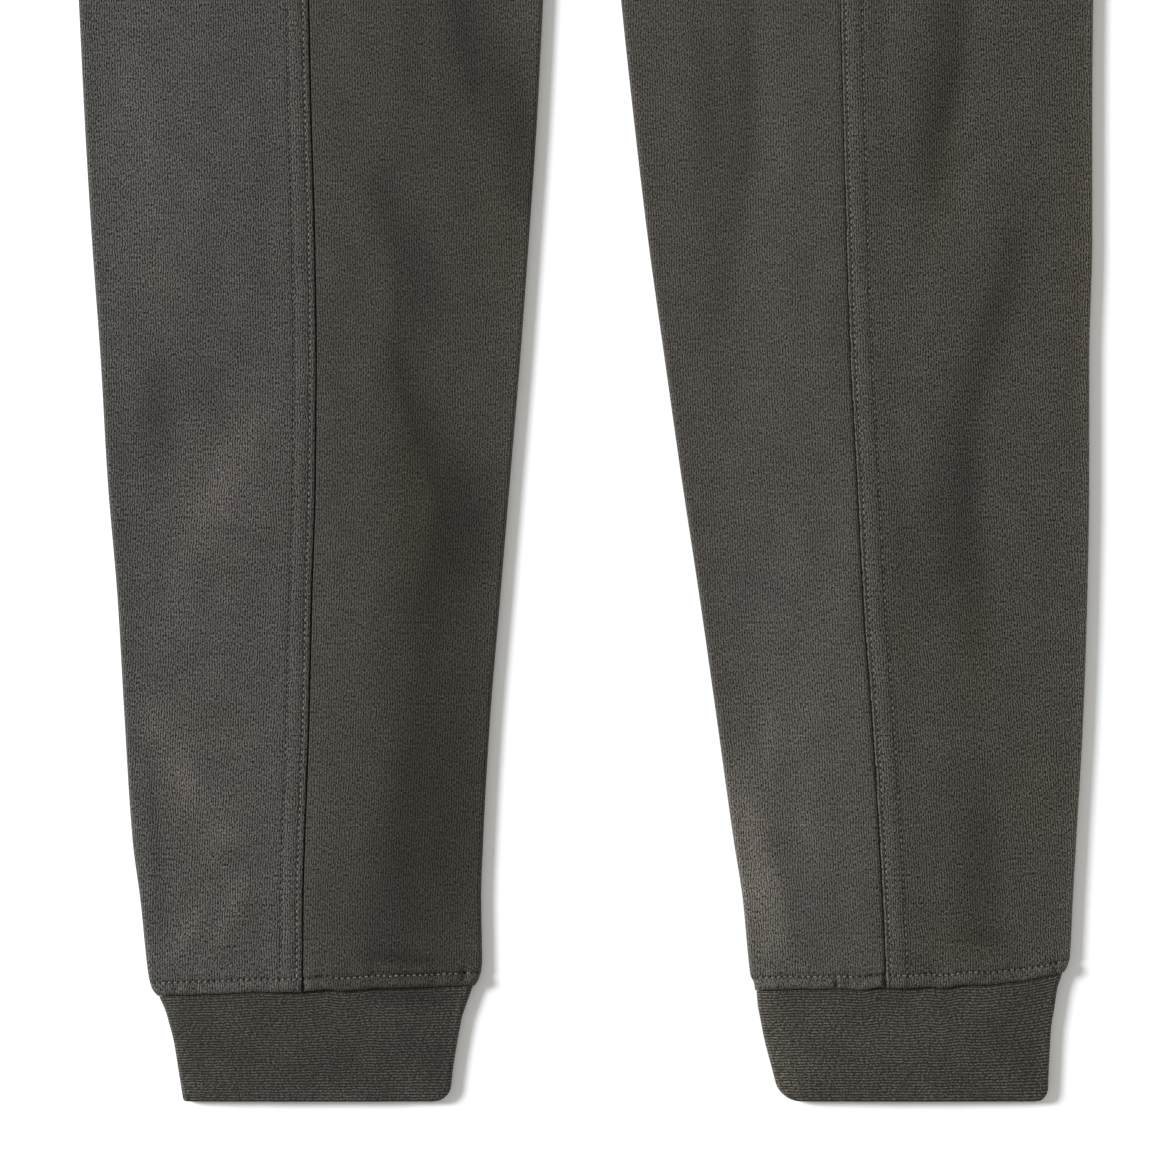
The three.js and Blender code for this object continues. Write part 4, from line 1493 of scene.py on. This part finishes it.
@dataclass(frozen=True)
class Fleece:
    """Brushed cotton fleece, piece dyed, with the needle holes of its seams."""

    # A matt nap with no gloss: soft grain with light fibre tips over faint upright wales, the tips greyed
    # as painted sheen, and the redder, olive and cooler patches that garment dyeing leaves
    name: str = "brushed_cotton_fleece"
    base: str = "#c8bcab"
    cool: str = "#c8c5b9"
    red: str = "#c8b9b1"
    olive: str = "#c8bc98"
    # Grey of the painted sheen on the lightest fibre tips
    tips: str = "#c8c8c8"
    sheen: str = "#b9b2a4"
    depth: float = 0.0525

    # The nap is nearer 0.3 mm and the wales 0.9 mm, but they are drawn as coarse as they show
    grain_mm: float = 0.58
    fine_mm: float = 0.58 / 1.9
    speck_mm: float = 0.58 / 1.3
    wale_mm: float = 1.15
    grain_upright: float = 0.48

    # Wander of the wales, and the sizes of flecks and of broad clouds in the dye
    drift_mm: float = 1 / 0.09
    wale_drift: float = 9.0
    fleck_mm: float = 6.25
    cloud_mm: float = 1 / 0.075

    # How the pile is made up, and how it turns into shade, tips and specks
    grain_weight: float = 0.9
    fine_weight: float = 0.6
    wale_weight: float = 0.13
    outer_firmness: Range = (-0.1, 0.1, 1.0, 1.3)
    shade_range: Range = (-0.23, 0.23, 0.0, 2.75)
    tip_sheen_range: Range = (-0.12, 0.2, 0.0, 0.5)
    speck_range: Range = (0.68, 0.86, 0.0, 1.3)
    fleck_range: Range = (0.52, 0.72, 0.0, 0.55)
    cloud_range: Range = (0.3, 0.7, 0.93, 1.07)
    patch_weight: float = 0.8

    # The needle holes and the crevice along the seam's fold: places, sizes and darkness, which is painted
    # shade in the holes and painted shadow in the crevice
    stitched: bool = True
    hole_reach: Range = (0.75, 0.2)
    hole_ends: Range = (0.24, 0.47, 0.12, 1.0)
    hole_painted_shade: float = 0.22
    seam_holes: float = 0.7
    hole_depth: float = -1.6
    crevice_at: float = -0.15
    crevice_reach: Range = (0.42, 0.12)
    painted_crevice_shadow: float = 0.3

    roughness: float = 0.95
    sheen_weight: float = 0.08
    sheen_roughness: float = 0.55
    specular: float = 0.22

    def build(self) -> bpy.types.Material:
        """Make the fleece."""
        made = Nodes(self.name)
        cloth = made.add("Attribute", (), out="Vector", attribute_name="cloth")
        tone = made.add("Attribute", (), out="Vector", attribute_name="tone")
        red, light, cool = made.add("SeparateXYZ", (tone,), out=slice(3))
        places = made.add("SeparateXYZ", (cloth,), out=slice(3))
        flat = made.add("Mapping", {"Vector": cloth, "Scale": (1.0, self.grain_upright, 0.0)})
        grain, fine, speck, drift, fleck, cloud = (
            made.add("TexNoise", {"Vector": vector, "Scale": 1 / size, "Detail": detail}, **FLAT)
            for vector, size, detail in (
                (flat, self.grain_mm, 1.0),
                (flat, self.fine_mm, 1.0),
                (flat, self.speck_mm, 0.0),
                (cloth, self.drift_mm, 1.0),
                (cloth, self.fleck_mm, 3.0),
                (cloth, self.cloud_mm, 4.0),
            )
        )
        turns = made.weigh((places[0], 2 * math.pi / self.wale_mm), (drift, self.wale_drift))
        wale = made.add("Math", (turns,), operation="SINE")
        weights = ((grain, self.grain_weight), (fine, self.fine_weight), (wale, self.wale_weight))
        middle = (self.grain_weight + self.fine_weight) / 2
        pile = made.add("Math", (made.weigh(*weights), middle), operation="SUBTRACT")
        pile = made.product(pile, made.add("MapRange", (places[0], *self.outer_firmness)))
        fleck = made.add("MapRange", (fleck, *self.fleck_range))
        redder = made.add("MapRange", (made.weigh((red, self.patch_weight), (fleck, 1.0)), 0.0, 1.0))
        olive = made.add("MapRange", (red, 0.0, -1.0))
        # Painted sheen: the lightest grain is greyed
        tips = made.add("MapRange", (pile, *self.tip_sheen_range))
        tints = ((self.cool, cool), (self.red, redder), (self.olive, olive), (self.tips, tips))
        hue = made.dye(linear(self.base), *tints)
        shade = made.weigh(
            (made.add("MapRange", (pile, *self.shade_range)), self.depth),
            (made.add("MapRange", (speck, *self.speck_range)), self.depth),
        )
        cloud = made.add("MapRange", (cloud, *self.cloud_range))
        # The tone's lightness carries painted shade and highlights
        shade = made.product(shade, cloud, made.add("Math", (10.0, light), operation="POWER"))
        if self.stitched:
            holes = self.holes(made, *places)
            # Painted shade in the needle holes and painted shadow along the seam's crevice
            dark = made.add("MapRange", (holes, 0.0, 1.0, 1.0, self.hole_painted_shade))
            shade = made.product(shade, dark, self.crevice(made, places[0]))
            pile = made.weigh((pile, 1.0), (holes, self.hole_depth))
        inputs = {0: 1.0, 6: hue, 7: shade}
        shader = {
            "Base Color": made.add("Mix", inputs, out=2, data_type="RGBA", blend_type="MULTIPLY"),
            "Roughness": self.roughness,
            "Sheen Weight": self.sheen_weight,
            "Sheen Roughness": self.sheen_roughness,
            "Sheen Tint": linear(self.sheen),
            "Specular IOR Level": self.specular,
        }
        return made.close(shader, pile)

    def crevice(self, made: Nodes, along_cloth: Socket) -> Socket:
        """Painted shadow along the crevice of the seam's fold: how much light the colour keeps there."""
        off = self.distance(made, along_cloth, self.crevice_at)
        inside = made.add("MapRange", (off, *self.crevice_reach))
        return made.add("MapRange", (inside, 0.0, 1.0, 1.0, self.painted_crevice_shadow))

    def distance(self, made: Nodes, value: Socket, at: float) -> Socket:
        """How far a value is from a place."""
        return made.add("Math", (made.add("Math", (value, at), operation="SUBTRACT"),), operation="ABSOLUTE")

    def spots(self, made: Nodes, off: Socket, run: Socket, pitch: float) -> Socket:
        """Spots at each pitch along a row.

        Args:
            made: the material's nodes.
            off: distance off the row.
            run: distance along it.
            pitch: length from one stitch to the next.

        Returns:
            1 in a spot and 0 off it.
        """
        share = made.add("Math", (made.add("Math", (run, pitch), operation="DIVIDE"),), operation="FRACT")
        near_end = made.add("MapRange", (self.distance(made, share, 0.5), *self.hole_ends))
        return made.product(made.add("MapRange", (off, *self.hole_reach)), near_end)

    def holes(self, made: Nodes, along_cloth: Socket, up: Socket, above_hem: Socket) -> Socket:
        """The needle holes between stitches, where the cloth is drawn in and painted shade darkens it.

        Args:
            made: the material's nodes.
            along_cloth: distance along the cloth from the lapped seam's edge.
            up: height up the garment.
            above_hem: height above the hem.

        Returns:
            1 in a hole and 0 off it.
        """
        rows = [self.distance(made, along_cloth, row) for row in (NEAR_ROW, FAR_ROW)]
        nearest = made.add("Math", rows, operation="MINIMUM")
        clear = made.add("Math", (above_hem, HEM_ROW), operation="GREATER_THAN")
        seam = made.product(self.spots(made, nearest, up, SEAM_PITCH), self.seam_holes, clear)
        place = made.add("TexCoord", (), out="Object")
        across = made.add("Math", (made.add("SeparateXYZ", (place,)), MM), operation="DIVIDE")
        hem = self.spots(made, self.distance(made, above_hem, HEM_ROW), across, HEM_PITCH)
        return made.add("Math", (seam, hem), operation="MAXIMUM")


@dataclass(frozen=True)
class Rib:
    """Fine rib knit of the cuffs, from the same dye."""

    # Short dashes of loops in level courses, a little darker and firmer to the eye than the fleece
    name: str = "fine_rib_knit"
    base: str = "#c8bda3"
    cool: str = "#c8c4b2"
    red: str = "#c8b7aa"
    # Grey of the painted sheen on the lightest loops
    tips: str = "#c8c8c8"
    depth: float = 0.045

    # The loops are nearer 0.7 mm, but are drawn as coarse as they show
    course_mm: float = 1.3
    course_stretch: float = 1.7
    dash_mm: float = 1.3
    loop_mm: float = 1 / 1.35
    drift_mm: float = 1 / 0.12
    course_drift: float = 2.2
    fleck_mm: float = 1 / 0.14
    cloud_mm: float = 20.0

    # How the knit is made up, and how it turns into shade and tips
    course_weight: float = 0.19
    dash_weight: float = 0.72
    loop_weight: float = 0.58
    knit_range: Range = (0.40, 1.0)
    contrast: float = 1.7
    shade_range: Range = (0.0, 1.0, 0.3, 3.7)
    tip_sheen_range: Range = (0.1, 0.6, 0.0, 0.5)
    fleck_range: Range = (0.55, 0.78, 0.0, 0.6)
    cloud_range: Range = (0.35, 0.65, 0.92, 1.08)

    roughness: float = 0.93
    sheen_weight: float = 0.05
    sheen_roughness: float = 0.5
    specular: float = 0.22

    def build(self) -> bpy.types.Material:
        """Make the rib."""
        made = Nodes(self.name)
        cloth = made.add("Attribute", (), out="Vector", attribute_name="cloth")
        tone = made.add("Attribute", (), out="Vector", attribute_name="tone")
        light, cool = made.add("SeparateXYZ", (tone,), out=slice(3))[1:]
        up = made.add("SeparateXYZ", (cloth,), out=1)
        stretch = (1 / self.dash_mm, self.course_stretch / self.course_mm, 0.0)
        flat = made.add("Mapping", {"Vector": cloth, "Scale": stretch})
        dash, loop, drift, fleck, cloud = (
            made.add("TexNoise", {"Vector": vector, "Scale": 1 / size, "Detail": detail}, **FLAT)
            for vector, size, detail in (
                (flat, 1.0, 1.0),
                (cloth, self.loop_mm, 0.0),
                (cloth, self.drift_mm, 1.0),
                (cloth, self.fleck_mm, 2.0),
                (cloth, self.cloud_mm, 2.0),
            )
        )
        turns = made.weigh((up, 2 * math.pi / self.course_mm), (drift, self.course_drift))
        course = made.add("Math", (turns,), operation="SINE")
        knit = made.weigh((course, self.course_weight), (dash, self.dash_weight), (loop, self.loop_weight))
        raised = made.add("MapRange", (knit, *self.knit_range))
        loops = made.add("Math", (raised, self.contrast), operation="POWER")
        fleck = made.add("MapRange", (fleck, *self.fleck_range))
        # Painted sheen: the lightest loops are greyed
        tips = made.add("MapRange", (loops, *self.tip_sheen_range))
        hue = made.dye(linear(self.base), (self.cool, cool), (self.red, fleck), (self.tips, tips))
        shade = made.product(made.add("MapRange", (loops, *self.shade_range)), self.depth)
        cloud = made.add("MapRange", (cloud, *self.cloud_range))
        # The tone's lightness carries painted shade and highlights
        shade = made.product(shade, cloud, made.add("Math", (10.0, light), operation="POWER"))
        inputs = {0: 1.0, 6: hue, 7: shade}
        shader = {
            "Base Color": made.add("Mix", inputs, out=2, data_type="RGBA", blend_type="MULTIPLY"),
            "Roughness": self.roughness,
            "Sheen Weight": self.sheen_weight,
            "Sheen Roughness": self.sheen_roughness,
            "Specular IOR Level": self.specular,
        }
        return made.close(shader, knit)


@dataclass(frozen=True)
class Thread:
    """Spun polyester sewing thread: two plies, twisted."""

    # A little lighter and glossier than the cloth, so that the stitches read as pale dots
    name: str = "spun_polyester_thread"
    light: str = "#67635b"
    dark: str = "#45423c"
    twist_mm: float = 0.5
    wear_mm: float = 5.0
    twist_weight: float = 0.5
    shade_range: Range = (0.58, 0.92)
    roughness: float = 0.6
    specular: float = 0.35

    def build(self) -> bpy.types.Material:
        """Make the thread."""
        made = Nodes(self.name)
        place = made.add("TexCoord", (), out="Object")
        twist, wear = (
            made.add("TexNoise", {"Vector": place, "Scale": 1 / (size * MM), "Detail": 1.0})
            for size in (self.twist_mm, self.wear_mm)
        )
        shade = made.add("MapRange", (made.weigh((twist, self.twist_weight), (wear, 1.0)), *self.shade_range))
        colour = made.dye(linear(self.dark), (self.light, shade))
        shader = {"Base Color": colour, "Roughness": self.roughness, "Specular IOR Level": self.specular}
        return made.close(shader)


@dataclass(frozen=True)
class Paper:
    """Matt white paper of the studio floor."""

    # It shows soft shadows and no reflection
    name: str = "matt_white_paper"
    colour: str = "#f4f6f9"
    roughness: float = 0.9

    def build(self) -> bpy.types.Material:
        """Make the paper."""
        return Nodes(self.name).close({"Base Color": linear(self.colour), "Roughness": self.roughness})


@dataclass
class Studio:
    """The pale floor, the soft lights and the camera over the lower legs."""

    # Sizes and places in metres, but the sensor and the cloth's height in millimetres
    camera_height: float = 2.6
    clip_end: float = 20.0
    sensor: float = 36.0
    cloth_height: float = 6.0
    floor_half: float = 3.0
    lamp_size: float = 3.0
    key_power: float = 1330.0
    key_place: tuple[float, ...] = (-7.0, 1.6, 3.8)
    fill_power: float = 190.0
    fill_place: tuple[float, ...] = (7.0, -1.0, 1.6)
    lamp_aim: tuple[float, ...] = (0.0, -0.2, 0.0)
    lamp_colour: tuple[float, ...] = (0.96, 0.98, 1.0)
    sky_colour: tuple[float, ...] = (1.0, 0.95, 0.87, 1.0)
    sky_strength: float = 0.44

    def build(self) -> None:
        """Make the floor, lights, sky and camera."""
        self.floor()
        self.lamp("key", self.key_power, self.key_place)
        self.lamp("fill", self.fill_power, self.fill_place)
        self.sky()
        self.camera()

    def floor(self) -> None:
        """A plain pale floor, a hair below the cloth."""
        half, low = self.floor_half, -FLOOR_GAP * MM
        mesh = bpy.data.meshes.new("floor")
        corners = [(-half, -half, low), (half, -half, low), (half, half, low), (-half, half, low)]
        mesh.from_pydata(corners, [], [(0, 1, 2, 3)])
        floor = bpy.data.objects.new("floor", mesh)
        bpy.context.scene.collection.objects.link(floor)
        floor.data.materials.append(Paper().build())

    def sky(self) -> None:
        """An even, slightly warm sky."""
        world = bpy.data.worlds.new("sky")
        world.use_nodes = True
        bpy.context.scene.world = world
        nodes = world.node_tree.nodes
        back = nodes.get("Background") or nodes.new("ShaderNodeBackground")
        back.inputs["Color"].default_value = self.sky_colour
        back.inputs["Strength"].default_value = self.sky_strength
        out = nodes.get("World Output") or nodes.new("ShaderNodeOutputWorld")
        world.node_tree.links.new(back.outputs[0], out.inputs[0])
        bpy.context.scene.view_settings.view_transform = "Standard"

    def lamp(self, name: str, power: float, place: tuple[float, ...]) -> None:
        """A round soft lamp.

        Args:
            name: what it is called.
            power: how strong it is.
            place: where it stands, in metres.
        """
        light = bpy.data.lights.new(name, "AREA")
        light.shape = "DISK"
        light.size = self.lamp_size
        light.color = self.lamp_colour
        light.energy = power
        lamp = bpy.data.objects.new(name, light)
        lamp.location = place
        aim = Vector(self.lamp_aim) - lamp.location
        lamp.rotation_euler = aim.to_track_quat("-Z", "Y").to_euler()
        bpy.context.scene.collection.objects.link(lamp)

    def camera(self) -> None:
        """A long lens straight above the photographed stretch."""
        middle = PHOTO_SIDE / 2
        x = (middle - PHOTO_MIDDLE_X) * PIXEL
        y = (PHOTO_CUFF_BOTTOM_Y - middle) * PIXEL - LENGTH / 2
        eye = bpy.data.cameras.new("camera")
        eye.sensor_width = self.sensor
        reach = self.camera_height - self.cloth_height * MM
        eye.lens = self.sensor * reach / (PHOTO_SIDE * PIXEL * MM)
        eye.clip_end = self.clip_end
        camera = bpy.data.objects.new("camera", eye)
        camera.location = (x * MM, y * MM, self.camera_height)
        bpy.context.scene.collection.objects.link(camera)
        bpy.context.scene.camera = camera


def right_leg() -> Leg:
    """The wearer's right leg, at the photograph's left."""
    return Leg(
        side=Side.RIGHT,
        outline=RIGHT_OUTLINE,
        cuff=RIGHT_CUFF,
        folds=RIGHT_FOLDS,
        patches=RIGHT_DYE_AND_PAINTED_SHADE_PATCHES,
        painted_shading_streaks=RIGHT_PAINTED_SHADING_STREAKS,
        cuff_painted_shading=RIGHT_CUFF_PAINTED_SHADING,
        dimples=RIGHT_DIMPLES,
        hem_outer=48.6,
        hem_inner=53.4,
        hem_kick=0.0,
        corner_outer=1.5,
        corner_inner=7.0,
        cool_front=0.1,
        cool_outer=1.0,
        fold_painted_light_low=-0.03,
        fold_painted_light_high=-0.03,
        beside_fold_painted_shade=-0.11,
        draw_low=1.05,
        draw_high=1.05,
        far_row_painted_shade=0.0,
        rim_outer=0.0,
        rim_inner=0.14,
    )


def left_leg() -> Leg:
    """The wearer's left leg, at the photograph's right."""
    return Leg(
        side=Side.LEFT,
        outline=LEFT_OUTLINE,
        cuff=LEFT_CUFF,
        folds=LEFT_FOLDS,
        patches=LEFT_DYE_AND_PAINTED_SHADE_PATCHES,
        painted_shading_streaks=LEFT_PAINTED_SHADING_STREAKS,
        cuff_painted_shading=LEFT_CUFF_PAINTED_SHADING,
        dimples=LEFT_DIMPLES,
        hem_outer=53.6,
        hem_inner=51.2,
        hem_kick=6.2,
        corner_outer=5.0,
        corner_inner=9.0,
        cool_front=0.0,
        cool_outer=0.0,
        fold_painted_light_low=0.24,
        fold_painted_light_high=0.5,
        beside_fold_painted_shade=-0.05,
        draw_low=0.6,
        draw_high=0.1,
        far_row_painted_shade=-0.2,
        rim_outer=0.28,
        rim_inner=0.0,
    )


def main() -> None:
    """Build the garment and its studio."""
    logging.basicConfig(level=logging.INFO, format="%(message)s")
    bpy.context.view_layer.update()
    Studio().build()
    fleece = Fleece().build()
    gathered_fleece = Fleece(name="gathered_fleece", stitched=False).build()
    rib = Rib().build()
    thread = Thread().build()
    # A darker thread for the far rows
    far_row_thread = Thread(name="darker_polyester_thread", light="#57544d", dark="#2c2a26").build()
    for leg in (right_leg(), left_leg()):
        back = BackPanel(leg)
        back.build(fleece)
        FrontPanel(leg).build(fleece)
        Cuff(leg).build(rib)
        Sewing(leg, back).build(thread, far_row_thread)
    Waistband().build(gathered_fleece)


if __name__ == "__main__":
    main()
